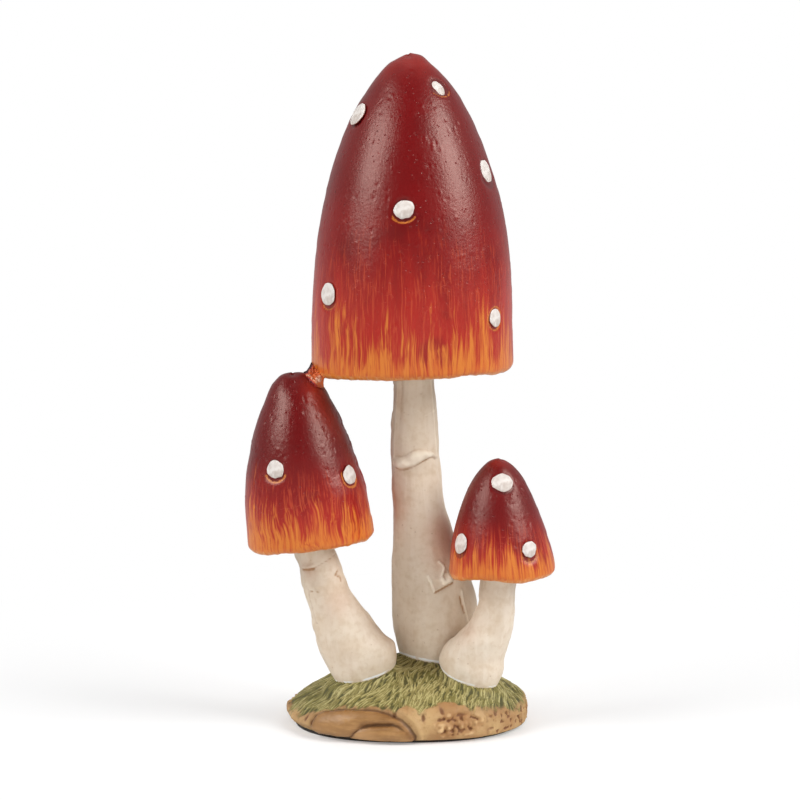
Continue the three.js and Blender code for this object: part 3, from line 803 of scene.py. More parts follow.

# %% [markdown]
# ## Paint of the mound
#
# The painter floods the grass with dark olive, which stays in the gaps, and drags a nearly dry
# brush of pale green over the crests. The earth gets a sandy coat and a thin brown wash that
# gathers in every hollow. The marks of the relief say where crests and hollows are, so the paint
# follows the modelling just as the real wash does. The root's crowns are painted lighter, as a
# painted highlight, and its edges darker, partly as painted shade.


# %% Mound paint
def mound_paint():
    paint = Paint("mound_paint")
    patches = paint.noise(7, detail=2)
    grain = paint.noise(0.9, detail=3)
    uneven = grain * 0.4 - 0.2
    crest = paint.mark("crest") + grain * 0.16 - 0.08
    olive = paint.coats(tint(118, 110, 54), (patches.step(0.35, 0.65), (136, 124, 70)))
    dry_brush = (crest + patches * 0.3 - 0.15).step(0.56, 0.98) * 0.8
    grass = paint.mix(crest.step(0.02, 0.36), tint(78, 74, 34), olive)
    grass = paint.coats(grass, (dry_brush, (188, 178, 122)))
    sand = paint.coats(
        tint(164, 122, 76),
        (patches.step(0.3, 0.7), (190, 155, 106)),
        (grain.step(0.5, 0.8) * 0.4, (146, 104, 62)),
    )
    strokes = paint.noise(0.9, 3, paint.stretched(0.22, 0.22, 1))
    wood = paint.coats(
        tint(122, 83, 42),
        (paint.noise(4, 3).step(0.3, 0.7), (142, 101, 56)),
        (strokes.step(0.45, 0.7) * 0.6, (178, 134, 82)),
        # painted highlight on the root's crowns
        (paint.mark("crown").step(0.5, 1.0) * 0.4, (180, 136, 84)),
        (paint.mark("low_lobe") * 0.6, (196, 152, 102)),
    )
    root = paint.mark("root")
    earth = paint.coats(
        paint.mix(root, sand, wood),
        (paint.mark("clay") * 0.4, (160, 110, 64)),
        (paint.mark("flake") * 0.7, (222, 186, 136)),
        ((paint.mark("pit") + grain * 0.4).step(0.3, 0.9) * 0.85, (112, 66, 34)),
        # painted shade round the root, and dark lines along its edges that are partly painted shade
        ((paint.mark("shade") + uneven).step(0.1, 1.0) * 0.6, (120, 78, 38)),
        ((paint.mark("crease") + uneven).step(0.3, 0.95) * 0.8, (92, 60, 32)),
    )
    edge = (paint.mark("grass") + grain * 0.8 - 0.4 + patches * 0.4 - 0.2).step(0.15, 0.85)
    colour = paint.mix(edge, earth, grass)
    return paint.finish(colour, 0.56 + grain * 0.14 - root * 0.2, grain, 0.14)


fit(mound, mound_paint(), "mound_paint", "base_mound")

# %% [markdown]
# ## Stems
#
# A stem is a stack of ovals along a bent middle line, swollen near the ground. The mould's halves
# met at its left and right, where a thin ragged flange of resin was left. The tall stem also keeps
# the ring of its veil: a rope of clay laid round it, low at the front and torn at the right. Lower
# down, a flap of clay was torn as the mould came off, and a thin fold runs behind the right stem.


# %% Rings of a stem
SPIGOT_STEP = 1.1  # how much thinner the spigot is than the stem's neck


def ring_turns(sides):
    """Directions round a stem in degrees: 0 is the right, 180 the left and 270 the front."""
    return np.arange(sides) / sides * 360


def stem_rings(kind, spacing=0.4):
    """The smooth stem from its foot in the mound up to the cap's rim."""
    shares = np.linspace(0, 1, round((kind.seat[2] - foot_of(kind)[2]) / spacing))
    middle, wide, deep = stem_at(kind, shares)
    angle = np.radians(ring_turns(round(2 * np.pi * wide.max() / spacing)))
    # The last quarter of the stem turns with the cap
    tips = np.array([cap_turn(kind, part) for part in np.clip(4 * shares - 3, 0, 1)])
    across = (wide[:, None] * np.cos(angle))[..., None] * tips[:, None, :, 0]
    along = (deep[:, None] * np.sin(angle))[..., None] * tips[:, None, :, 1]
    return middle[:, None] + across + along


def stem_skin(kind, rows, relief, marks):
    """A stem with its relief, and with the neck and the spigot that hold it in the cap."""
    inner = kind.neck - SPIGOT_STEP
    profile = [(kind.neck, 0.1), (kind.neck, 1.8), (inner, 1.8), (inner, kind.spigot)]
    neck = turned(profile, rows.shape[1]) @ cap_turn(kind).T + kind.seat
    rows = np.concatenate([raised(rows, relief), neck])
    for name, mark in marks.items():
        marks[name] = np.concatenate([mark, np.repeat(mark[-1:], len(profile), axis=0)])
    return skin(f"{kind.name}_stem_sculpted", rows, marks)


def arc_from(rows, turn):
    """Distance in millimetres round each ring from one direction."""
    turns = ring_turns(rows.shape[1])
    away = (turns - turn + 180) % 360 - 180
    girth = np.linalg.norm(rows - np.roll(rows, 1, axis=1), axis=2).sum(axis=1, keepdims=True)
    return away / 360 * girth


def seam(rows, turn, seed, height=0.2, width=0.4):
    """A ragged seam up one side."""
    raggedness = lumps(rows * (0, 0, 1), 2.2, seed)
    return height * np.clip(0.6 + raggedness, 0, 1) * bump(arc_from(rows, turn), width)


def gap_to(kind, rows):
    """Roughly how far each point is from another stem, at its own height."""
    foot = foot_of(kind)[2]
    share = np.clip((rows[..., 2] - foot) / (kind.seat[2] - foot), 0, 0.999)
    middle, wide, deep = stem_at(kind, share)
    away = np.hypot((rows[..., 0] - middle[..., 0]) / wide, (rows[..., 1] - middle[..., 1]) / deep)
    return (away - 1) * np.minimum(wide, deep) + 9 * (share > 0.99)


def stem_marks(kind, rows, lines, blush, hollows, pale=0):
    """What the stem's paint follows: creases, stains, hollows, crests and the edge at the grass,
    and the painted shade near the other stems and the ground.
    """
    x, y, z = np.moveaxis(rows, -1, 0)
    rise = z - ground(x, y) + slump(x, y) - kind.lap
    gap = np.minimum.reduce([gap_to(other, rows) for other in TOADSTOOLS if other is not kind])
    return {
        "line": np.clip(lines, 0, 1),
        "blush": np.clip(blush, 0, 1),
        "hollow": step(-hollows, -0.02, 0.2),
        "foot": bump(rise - 0.4, 0.5),
        "pale": pale + 0 * rise,
        "wash": kind.wash + 0 * rise,
        # painted shade: darker where another stem is close, and just above the grass
        "contact_shade": step(-gap, -3.5, 0.5) + 0.35 * step(-rise, -3, 0),
    }


# How much of the beige wash was left on each stem
tall.wash, left.wash, right.wash = 0.46, 0.4, 0.34


def near(rows, point, reach):
    """1 at a point, falling to 0 some reach away."""
    return bump(np.linalg.norm(rows - point, axis=2), reach)


def stroke(rows, points, width):
    """1 on a line across the front of a stem, drawn through points of x and z."""
    flat = rows[..., [0, 2]]
    away = [np.linalg.norm(flat - point, axis=2) for point in even(points, 0.15)]
    distance = np.min(away, axis=0)
    return bump(distance, width) * (rows[..., 1] < rows[..., 1].mean(axis=1, keepdims=True))


# %% Tall stem
# The ring: a direction in degrees, its height, half its thickness and how far it stands proud.
VEIL = [
    (0, 70.4, 0.6, 0), (40, 70, 0.7, 0.15), (90, 69.4, 0.9, 0.4), (140, 69.2, 1.2, 0.4),
    (170, 68.6, 1.4, 0), (206, 68.1, 1.4, 0), (214, 67.9, 1.5, 0.45), (226, 67.6, 1.6, 0.95),
    (242, 67.7, 1.65, 1.1), (266, 68.8, 1.95, 1.2), (290, 69.7, 1.45, 1.05),
    (308, 69.8, 0.7, 0.85), (320, 69.0, 0.45, 0.75), (328, 68.9, 0.35, 0.5), (335, 69.2, 0.4, 0),
    (360, 70.4, 0.6, 0),
]
# The flange at the left: a height, and how far it stands proud there.
FLANGE = [
    (41, 0.15), (47, -0.1), (52, -0.3), (54.6, -0.35), (58, 0), (60, 0.15), (62.9, -0.15),
    (64.4, -0.5), (67.6, -0.6), (68.9, -0.1), (70.5, -0.15), (75.3, -0.15), (77, 0.15),
    (79.8, 0.05), (80.6, -0.2), (81.2, -0.5), (83.2, -0.45), (83.6, -0.05), (84, -0.5),
    (85.2, -0.5), (85.6, -0.2), (86.3, -0.55), (86.8, -0.35), (87.4, 0.1), (89, 0.15), (90, 0),
]
# The torn flap beside the right cap's rim, as x and z: its edges, its spur and what lies beside it.
FLAP_EDGE = [(6.84, 34.62), (11.4, 36.95)]
FLAP_SIDE = [(5.3, 38.6), (6.08, 37.1), (6.84, 34.7)]
FLAP_SPUR = [(8.0, 42.3), (8.9, 41.6), (9.25, 40.7), (8.9, 39.5), (8.6, 38.6), (8.9, 37.9)]
FLAP_WEDGE = [(9.3, 36.9), (10.1, 37.6), (10.9, 37.9)]
FLAP_CRACK = [(9.9, 39.6), (9.9, 38.3)]
# A fold of clay that runs down behind the right stem.
FOLD = [(13.6, 33.0), (13.9, 31.6), (14.4, 29.9), (14.75, 28.6)]
FOLD_LIP = [(13.9, 34.5), (14.3, 32.2), (14.9, 29.8), (15.3, 27.8), (15.6, 26.2)]
# A scar just below the cap.
SCAR = [(2.49, 81.2), (4.52, 79.67), (6.81, 80.76)]
# Stains: a place, a reach and a strength. The largest, beside the right cap, is partly stain and
# partly painted shade from that cap.
TALL_STAINS_AND_SHADE = [
    ((-4, 0, 57), 5, 0.6), ((-3, -1, 84), 4, 0.6), ((10, -4, 49.5), 6, 0.75),
    ((9, -4, 42), 4, 0.35),
]


def torn_flap(rows):
    """The flap stands off at its lower edge and sinks into the stem above. Its relief and marks,
    which paint a shadow under it and highlights along its edges.
    """
    (x, z), end = FLAP_EDGE
    along = np.array([end[0] - x, end[1] - z])
    length = np.hypot(*along)
    ahead, up = along / length, np.array([-along[1], along[0]]) / length
    place = rows[..., [0, 2]] - (x, z)
    across, over = place @ ahead, place @ up
    room = band(across, (-0.5, 0.3), (length, length + 0.6)) * (rows[..., 1] < 0)
    lifted = step(over, -0.2, 0.15) * bump(over.clip(0), 3.0) * room
    spur = stroke(rows, FLAP_SPUR, 0.3)
    side = stroke(rows, FLAP_SIDE, 0.28)
    wedge = stroke(rows, FLAP_WEDGE, 0.5)
    crumpled = bump(over - 1.5, 2.5) * room
    rough = layered(rows, (0.45, 1.3, 28), (0.2, 0.8, 29)) * crumpled
    # painted shadow: a dark line under the flap's lower edge, and another beside its spur
    shadow = bump(over + 0.3, 0.32) * room
    behind = stroke(rows, np.array(FLAP_SPUR) + (0.55, -0.1), 0.25)
    relief = 0.95 * lifted - 0.35 * shadow + 0.55 * spur + 0.3 * side + rough
    relief += 0.3 * wedge - 0.2 * behind
    lines = 1.2 * shadow + 0.6 * behind + 0.5 * stroke(rows, FLAP_CRACK, 0.25)
    chalky = step(lumps(rows, 1.3, 28), 0.1, 0.5) * crumpled
    # painted highlights on the flap's edges, its spur, its wedge and the crests of its crumples
    pale = 1.2 * spur + 1.2 * side + 1.6 * wedge + 0.6 * chalky
    return relief, lines, pale


def tall_relief(rows):
    height = rows[..., 2]
    turns = np.broadcast_to(ring_turns(rows.shape[1]), height.shape)
    places, *columns = np.array(VEIL).T
    centre, half, proud = (np.interp(turns, places, column) for column in columns)
    centre = centre + 0.3 * lumps(rows, 2.5, 21)
    over = height - centre - half
    under = height - centre + half
    rope = proud * np.sqrt(np.clip(1 - ((height - centre) / half) ** 2, 0, 1)) ** 0.8
    rope = rope * (1 + 0.4 * lumps(rows, 1.1, 23))
    rope -= 0.15 * step(proud, 0.3, 0.8) * bump(over + 0.7, 0.3)
    # edge: a groove above and below the ring, also painted dark along it as painted shade
    edge = (bump(under + 0.12, 0.38) + 0.7 * bump(over - 0.12, 0.34)) * step(proud, 0.2, 0.6)
    edge *= 0.75 + 0.5 * lumps(rows, 1.7, 22)
    flange_arc = arc_from(rows, 187)
    flange = follow(FLANGE, height) * step(-np.abs(flange_arc), -2.2, -1)
    groove = bump(flange_arc - 4.5, 0.6) * step(height, 66, 80)
    left_strip = bump(flange_arc - 3, 0.45) * step(height, 60, 68)
    right_strip = bump(arc_from(rows, 327), 0.4) * step(height, 66, 72)
    fold, fold_lip = stroke(rows, FOLD, 0.24), stroke(rows, FOLD_LIP, 0.28)
    hollows = layered(rows, (0.3, 8, 24), (0.08, 2.6, 25), (0.03, 1.1, 26))
    scar = stroke(rows, SCAR, 0.25)
    at_right = step(-np.abs(arc_from(rows, 0)), -5, -2)
    thinner = 0.35 * band(height, (50, 56), (68, 73)) * at_right
    flap, flap_lines, flap_pale = torn_flap(rows)
    relief = hollows + rope + flange + 0.4 * (fold_lip - fold) - 0.2 * (edge + groove) + flap
    relief += 0.15 * (scar + left_strip + right_strip) - thinner
    relief += 0.05 * lumps(rows * (1, 1, 0.3), 0.9, 27)
    # lines: painted shade in the fold's groove, along the ring's edges and under the flap
    lines = 0.9 * fold + edge * 0.75 + 0.4 * groove + flap_lines
    blush = sum(strength * near(rows, place, reach) for place, reach, strength in TALL_STAINS_AND_SHADE)
    blush += 0.6 * bump(flange_arc - 1, 1.4) * band(height, (44, 54), (74, 82))
    # pale: painted highlights on the ring's crest and the fold's lip, and pale paint on the scar
    # and strips
    pale = 0.6 * rope + 0.8 * fold_lip + 0.4 * scar + 0.5 * left_strip + 0.6 * right_strip
    return relief, stem_marks(tall, rows, lines, blush, hollows, pale + flap_pale)


tall_rows = stem_rings(tall)
tall_stem = stem_skin(tall, tall_rows, *tall_relief(tall_rows))

# %% [markdown]
# The left stem leans out to its cap and was bent a little more by hand after it was modelled. Its
# mould left creases across the neck, where the rubber had wrinkled.

# %% Left stem
# How far to the right of its plain middle line the stem was bent: a height and a distance.
LEFT_BEND = [
    (20, 0), (24, 0.15), (26.7, 0.15), (31, 0.7), (33, 0.7), (39.3, 0.55), (43.5, 0.25), (48, 0),
]
# Creases and stains across the front, as x and z: their points, their width and how dark they are.
LEFT_LINES = [
    ([(-26.2, 41.4), (-24.9, 41.6), (-23.65, 41.9)], 0.4, 1.1),
    ([(-23.65, 41.9), (-21.4, 43.3), (-18.1, 44.9)], 0.28, 0.6),
    ([(-17.6, 41.1), (-18.2, 40.2), (-16.9, 39.4), (-16.6, 38.5)], 0.3, 0.8),
    ([(-24.3, 35.9), (-24.0, 35.95)], 0.35, 0.9), ([(-22.7, 36.0), (-22.5, 36.05)], 0.3, 0.7),
    ([(-25, 36.4), (-24.7, 34.7), (-22.97, 27.5)], 0.3, 0.45),
    ([(-20.5, 36.2), (-18.5, 36.6)], 0.25, 0.25),
]


def left_relief(rows):
    height = rows[..., 2]
    hollows = layered(rows, (0.25, 7, 32), (0.08, 2.4, 33), (0.03, 1.1, 34))
    relief, lines, pale = hollows, 0, 0
    for points, width, strength in LEFT_LINES:
        crease = strength * stroke(rows, points, width)
        lip = strength * stroke(rows, np.array(points) + (0, 0.65), 0.4)
        relief = relief + 0.18 * lip - 0.25 * crease
        lines = lines + crease
        pale = pale + 0.4 * lip
    relief += seam(rows, 182, 35, 0.22) + seam(rows, 4, 36, 0.3)
    relief += 0.7 * near(rows, (-4.2, -8.5, 21.8), 1.3)
    blush = 0.5 * near(rows, (-25, -13, 41.5), 3) + 0.4 * near(rows, (-18, -14, 33), 6)
    blush += 0.4 * near(rows, (-5, -8, 21), 5)
    return relief, stem_marks(left, rows, lines, blush, hollows, pale)


left_rows = stem_rings(left)
left_rows[..., 0] += follow(LEFT_BEND, left_rows[..., 2])
left_stem = stem_skin(left, left_rows, *left_relief(left_rows))


# %% Right stem
def right_relief(rows):
    hollows = layered(rows, (0.22, 6, 41), (0.08, 2.4, 42), (0.03, 1.1, 43))
    relief = hollows + seam(rows, 178, 44, 0.3) + seam(rows, 2, 45, 0.2)
    lines = 0.4 * seam(rows, 178, 44, 1.0, 0.3)
    blush = 0.35 * near(rows, (15, -14, 26), 5)
    return relief, stem_marks(right, rows, lines, blush, hollows)


right_rows = stem_rings(right)
right_stem = stem_skin(right, right_rows, *right_relief(right_rows))

# %% [markdown]
# ## Paint of the stems
#
# The stems have a cream coat with a beige wash wiped over it, so hollows and creases are warmer
# and darker than what lies proud. Where a stem meets the grass, the cream stops in a pale edge.
# Shade is painted on as well: near the other stems and the grass, along the ring, in the fold and
# under the torn flap, with painted highlights on the crests beside them.


# %% Stem paint
def stem_paint():
    paint = Paint("stem_paint")
    clouds = paint.noise(8, detail=2)
    mottle = paint.noise(1.4, detail=4, roughness=0.6)
    wiped = paint.noise(1.6, 3, paint.stretched(1, 1, 0.12))
    uneven = mottle * 0.5 - 0.25
    specks = 1 - paint.dots(2.6).step(0.06, 0.12)
    edge = (paint.mark("foot") + uneven).step(0.45, 0.9) * paint.noise(3.5, 1).step(0.4, 0.52)
    cream = paint.coats(
        tint(226, 213, 196),
        (clouds.step(0.3, 0.7), (235, 225, 209)),
        (mottle.step(0.45, 0.7) * 0.45, (208, 188, 162)),
        (wiped.step(0.5, 0.68) * 0.45, (246, 239, 228)),
        (paint.mark("wash") * (0.7 + wiped * 0.5), (206, 178, 146)),
        ((paint.mark("hollow") + clouds - 0.5).step(0.3, 1.2) * 0.35, (204, 180, 152)),
        (paint.noise(3, 2).step(0.5, 0.75) * 0.4, (198, 172, 140)),
        # blush: stains, and beside the right cap also painted shade
        (paint.mark("blush").step(0.05, 1.0) * 0.65, (196, 136, 104)),
        # painted shade between the stems and where they meet the grass
        ((paint.mark("contact_shade") + uneven).step(0.2, 1.2) * 0.5, (170, 144, 116)),
        (paint.mark("pale").step(0.1, 0.9) * 0.8, (246, 234, 214)),
        ((paint.mark("line") + uneven).step(0.15, 1.0) * 0.85, (164, 114, 66)),
        (specks * mottle.step(0.45, 0.6) * 0.4, (160, 126, 92)),
        (edge * 0.9, (246, 249, 250)),
    )
    return paint.finish(cream, 0.48 + mottle * 0.14, mottle + wiped * 0.6, 0.12)


cream_paint = stem_paint()
for kind, piece in zip(TOADSTOOLS, (tall_stem, left_stem, right_stem)):
    fit(piece, cream_paint, "stem_paint", f"{kind.name}_stem")

# %% [markdown]
# ## Caps
#
# A cap is a bell: nearly upright at the rim, and rounder towards the tip. A power curve gives that
# with two numbers, one for how long it stays wide and one for how blunt its tip is. The skin runs
# on under the lip into the recess that holds the gills, and into the socket for the stem.

# %% Bell
LIP = 1.8  # radius of the rim's outer edge
GILL_TOP = 3.3  # height of the recess above the rim
GLUE = 0.3  # gap all round the gills and in the socket
PLATE_INSET = LIP + 1.4  # of the recess for the gills from the bell's widest place
SLOPE_REACH = 0.005  # share of the cap's height over which its slope is measured
# Millimetres between the points of the skin: each nib of the lacquer needs a few of them
tall.spacing, left.spacing, right.spacing = 0.385, 0.36, 0.36


def bell_radius(kind, height):
    """Distance of the plain bell from its axis at a height above the rim."""
    share = np.clip(height / kind.cap_height, 0, 1)
    return kind.cap_radius * (1 - share**kind.fullness) ** (1 / kind.bluntness)


def bell_facing(kind, height):
    """Outward direction of the bell at a height, as its part away from the axis and its part up."""
    reach = kind.cap_height * SLOPE_REACH
    low, high = max(0, height - reach), min(kind.cap_height, height + reach)
    slope = (bell_radius(kind, high) - bell_radius(kind, low)) / (high - low)
    return 1 / math.hypot(1, slope), -slope / math.hypot(1, slope)


def bell_profile(kind):
    """Radius and height from the underside of the lip to just short of the tip."""
    angle = np.linspace(0, np.pi / 2, 12)
    lip_height = LIP * (1 - np.cos(angle))
    lip = np.stack([bell_radius(kind, lip_height) - LIP * (1 - np.sin(angle)), lip_height], axis=1)
    height = LIP + (kind.cap_height - LIP) * np.sin(np.linspace(0, np.pi / 2, 400))[1:]
    bell = np.stack([bell_radius(kind, height), height], axis=1)
    return even(np.vstack([lip, bell]), kind.spacing)[:-1]


def recess_profile(kind):
    """From the top of the wire's hole down the socket and out under the gills to the rim."""
    socket, socket_top = kind.neck - SPIGOT_STEP + GLUE, kind.spigot + GLUE
    hole, plate = kind.wire + GLUE, kind.cap_radius - PLATE_INSET
    hole_top = socket_top + kind.wire_rise + GLUE
    corners = [(hole, hole_top), (hole, socket_top), (socket, socket_top), (socket, GILL_TOP)]
    return np.array([*corners, (plate, GILL_TOP), (plate, 0.0)])


# %% [markdown]
# Nothing about the bells came out true. The rim was cut by hand, so it rises and dips round the
# cap, and the sides were pressed a little fuller or flatter here and there. Short tables say how
# much, in millimetres, and the skin follows them.


# %% Uneven rims and sides
def rim_lift(kind, points):
    """How much higher than its plane the rim was cut, fading out up the bell and inwards."""
    x, y, z = np.moveaxis(points, -1, 0)
    cut = follow(kind.rim, turn_at(x, y))
    cut = (cut + 0.15 * lumps(points * (1, 1, 0), 4, kind.seed)) * bump(z, 9)
    ragged = 0.16 * lumps(points * (1, 1, 0), 1.1, kind.seed + 6) * bump(z, 1.2)
    return (cut + ragged) * np.clip(np.hypot(x, y) / kind.cap_radius, 0, 1) ** 2


# How the rim was cut: a direction in degrees, and how high above the plane it lies there.
tall.rim = [
    (-180, 0.3), (-110, -0.6), (-70, -1.25), (-55, -1.0), (-44, -0.7), (-13, -0.5), (0, -0.2),
    (7, -0.35), (21, -0.2), (29, 0.15), (37, 0.2), (46, 0), (57, -0.45), (70, -0.3), (90, 0.3),
    (120, 0.5), (180, 0.3),
]
left.rim = [
    (-180, 0.1), (-120, -0.3), (-80, -0.8), (-60, -1.1), (-47, -0.95), (-37, -0.3), (-28, 0.05),
    (-15, -0.1), (0, 0.1), (30, -0.05), (55, -0.25), (70, -0.8), (90, -0.4), (130, 0.2),
    (180, 0.1),
]
right.rim = [
    (-180, 0), (-110, -0.2), (-74, -1.3), (-56, -0.9), (-44, -0.2), (-34, 0.3), (-20, 0.3),
    (-5, 0), (5, -0.6), (13, -0.75), (25, -1.0), (38, -0.8), (49, -0.6), (62, -0.85), (80, -0.7),
    (120, -0.3), (180, 0),
]
# Where the hand left each side of the bell fuller or flatter: a height above the rim and a relief.
tall.sides = (
    [
        (5, 0), (17, -0.25), (35, -0.35), (45, -0.65), (57, -0.65), (70, -0.5), (74, 0),
        (77, 0.5), (79, 0.4),
    ],
    [
        (0, -0.25), (13, -0.2), (18, 0.1), (26, 0.45), (35, 0.25), (60, 0.2), (68, 0.5),
        (74, 0.5), (77, 0.7),
    ],
)
left.sides = (
    [
        (5, -0.15), (12, 0.2), (18, 0.05), (24, -0.35), (36, -0.45), (38.5, 0), (40.6, 0.5),
        (42.9, 0.6),
    ],
    [(0, 0.2), (13, 0.2), (15.5, 0), (18, -0.4), (25, -0.6), (30, -0.4), (35.7, 0), (38.2, 0.5)],
)
right.sides = (
    [(0, 0)],
    [(0, 0.2), (3, 0.15), (7, -0.2), (11, -0.5), (14.5, -0.7), (20, -0.6), (25, -0.4), (29, -0.3)],
)


def side_relief(kind, points):
    """The relief of the left and right sides of the bell, fading out towards its front and back."""
    across = points[..., 0] / np.hypot(points[..., 0], points[..., 1]).clip(TINY)
    fuller = [follow(side, points[..., 2]) for side in kind.sides]
    return fuller[0] * step(-across, 0, 0.9) + fuller[1] * step(across, 0, 0.9)


# %% [markdown]
# ## Spots
#
# Each spot is a flat disc of clay pressed on the bell in a shallow moat. It stands on its own axes:
# one level, one up the bell and one straight out. The disc is bent to the bell behind it, and its
# outline is a little irregular, as if pinched off by hand.


# %% Axes of a spot
def spot_axes(kind, spot):
    """Middle of a spot on the bell, and its level, upward and outward directions, as a matrix."""
    turn, share, _ = spot
    height = share * kind.cap_height
    out = facing(turn)
    away, up = bell_facing(kind, height)
    outwards = out * away + (0, 0, up)
    level = np.cross((0, 0, 1), out)
    middle = out * bell_radius(kind, height) + (0, 0, height)
    return middle, np.stack([level, np.cross(outwards, level), outwards], axis=1)


def moats(kind, points):
    """Depth of the moats round the spots, and where the orange undercoat shows in them."""
    depth, bare = np.zeros(points.shape[:2]), np.zeros(points.shape[:2])
    for number, spot in enumerate(kind.spots):
        slack, orange, start = kind.moats.get(number, (0.3, 0.4, 0.0))
        middle, axes = spot_axes(kind, spot)
        up = (points - middle) @ axes[:, 1] / spot[2]
        distance = np.linalg.norm(points - middle, axis=2) - spot[2]
        below = step(-up, -0.1, 0.9)
        wide = 0.25 + slack * below
        moat = bump(distance - 0.5 * wide, 0.3 + 0.5 * wide) * (0.4 + 0.6 * below)
        depth = np.maximum(depth, moat)
        depth = np.maximum(depth, 0.8 * (distance < 0))
        bare = np.maximum(bare, orange * bump(distance - wide, 0.3) * step(-up, start, start + 0.5))
    return depth, bare


# How much wider the moat is below a spot, how much orange shows in it, and how far round it starts:
# -1 is the top of the spot, so that the orange goes all the way round, and 1 the bottom
tall.moats = {
    0: (0.3, 0.6, 0.3), 1: (0.1, 0.2, 0.0), 2: (1.3, 0.15, 0.0), 3: (0.5, 0.85, 0.3),
    4: (0.2, 0.6, 0.3), 5: (0.2, 0.8, -1.6),
}
left.moats = {0: (0.5, 0.9, 0.2), 1: (0.3, 0.9, -0.8)}
right.moats = {0: (0.5, 0.1, 0.0), 1: (0.1, 0.3, 0.0), 2: (0.25, 0.6, -0.6)}

# %% [markdown]
# ## Skin of the caps
#
# The lacquer is full of small things: nibs and burst bubbles from casting, seams at the two sides,
# chips along the rim and down one edge. Each nib is wider than the distance between the skin's
# points, so it is a real bump that catches the light, and the finest grain is left to the paint.


# %% Caps
def nibs(kind, points):
    """Small bumps and burst bubbles, most of them on the upper part."""
    random = np.random.default_rng(kind.seed)
    relief = np.zeros(points.shape[:2])
    for _ in range(kind.nibs):
        height = kind.cap_height * random.beta(2.4, 1.9)
        angle, wide = random.uniform(0, 2 * math.pi), random.uniform(0.24, 0.42)
        proud = random.choice([0.07, 0.1, 0.13, -0.12, -0.18])
        radius = bell_radius(kind, height)
        middle = np.array([radius * math.cos(angle), radius * math.sin(angle), height])
        rings = np.nonzero(np.abs(points[:, 0, 2] - height) < 1.3)[0]
        if len(rings):
            close = slice(rings[0], rings[-1] + 1)
            distance = np.linalg.norm(points[close] - middle, axis=2)
            relief[close] += proud * bump(distance, wide)
    return relief


def chipped(kind, points):
    """How deep the chips are: places on the bell where the skin broke away."""
    depth = np.zeros(points.shape[:2])
    for turn, height, reach, strength in kind.chips:
        middle = facing(turn) * bell_radius(kind, height) + (0, 0, height)
        depth = np.maximum(depth, strength * near(points, middle, reach))
    return depth


def cap(kind):
    """The cap's skin in its own frame, with marks for the paint."""
    sides = round(2 * np.pi * kind.cap_radius / kind.spacing)
    bell = turned(bell_profile(kind), sides)
    depth, bare = moats(kind, bell)
    chips = chipped(kind, bell)
    relief = layered(bell, (0.25, 13, kind.seed + 1), (0.02, 4.5, kind.seed + 2))
    at_tip = step(bell[..., 2] / kind.cap_height, 0.93, 1.0)
    relief += 0.4 * lumps(bell, 3, kind.seed + 3) * at_tip
    relief += nibs(kind, bell) * (depth < 0.1) + side_relief(kind, bell)
    relief -= 0.3 * depth + 0.4 * chips
    relief += seam(bell, 181, kind.seed + 4, 0.07, 0.35)
    relief += seam(bell, 1, kind.seed + 5, kind.flash, 0.4)
    relief *= step(bell[..., 2], 0, 1.5)
    rubbed = sum(strength * near(bell, place, reach) for place, reach, strength in kind.rubbed)
    bell = raised(bell, relief)
    recess = turned(recess_profile(kind), sides)
    rows = np.concatenate([recess, bell])
    rows[..., 2] += rim_lift(kind, rows)
    marks = {"moat": np.maximum(depth, chips), "bare": bare, "rubbed": rubbed + 0 * depth}
    unmarked = np.zeros(recess.shape[:2])
    marks = {name: np.concatenate([unmarked, mark]) for name, mark in marks.items()}
    return skin(f"{kind.name}_cap_sculpted", rows, marks, kind.place)


# How many nibs there are, and how far the seam at the right stands proud
tall.nibs, left.nibs, right.nibs = 560, 360, 190
tall.flash, left.flash, right.flash = 0.1, 0.22, 0.12
# Chips: a direction in degrees, a height above the rim, a reach and a depth. On the left cap they
# run up its right edge.
tall.chips = [
    (-71, 1.7, 0.7, 1.2), (-71, 2.6, 0.6, 1.0), (-62, 0.6, 0.5, 0.6), (20, 0.4, 0.5, 0.5),
    (64, 0.5, 0.6, 0.6),
]
left.chips = [
    (86 + 5 * math.sin(3 * number), 8.5 + 2.6 * number, 0.42 + 0.14 * math.sin(5 * number), 0.8)
    for number in range(9)
]
right.chips = [(-15, 0.6, 0.5, 0.7), (-11, 1.0, 0.4, 0.5), (30, 0.4, 0.5, 0.6), (88, 1.2, 0.5, 0.8)]
# Where the orange undercoat is rubbed bare, in the cap's own frame: a place, a reach and a
# strength, which is below zero where the red lies thicker
tall.rubbed = [((-17, -17.6, 17), 7, 0.4), ((16, -18.6, 17), 7, 0.3), ((1, -24.5, 12), 9, -0.1)]
right.rubbed = []
left.rubbed = [((6, -5, 39.5), 3.4, 0.9), ((8.4, -6, 36), 4.2, 0.7), ((10.6, -7, 31), 5, 0.5)]
caps = [cap(kind) for kind in TOADSTOOLS]

# %% [markdown]
# ## Lacquer
#
# The caps are sprayed orange first. Red is then dragged up from near the rim with a dry brush,
# which leaves streaks, and a darker red closes over the top. So the shader needs to know two
# things at each point: how high it is above the rim, and where it is round the cap. Noise that is
# stretched upwards gives the streaks. It is read on a cylinder, so they stay upright on the bell.
# In the moats, at the chips and where the red was rubbed off, darker and paler coats show.


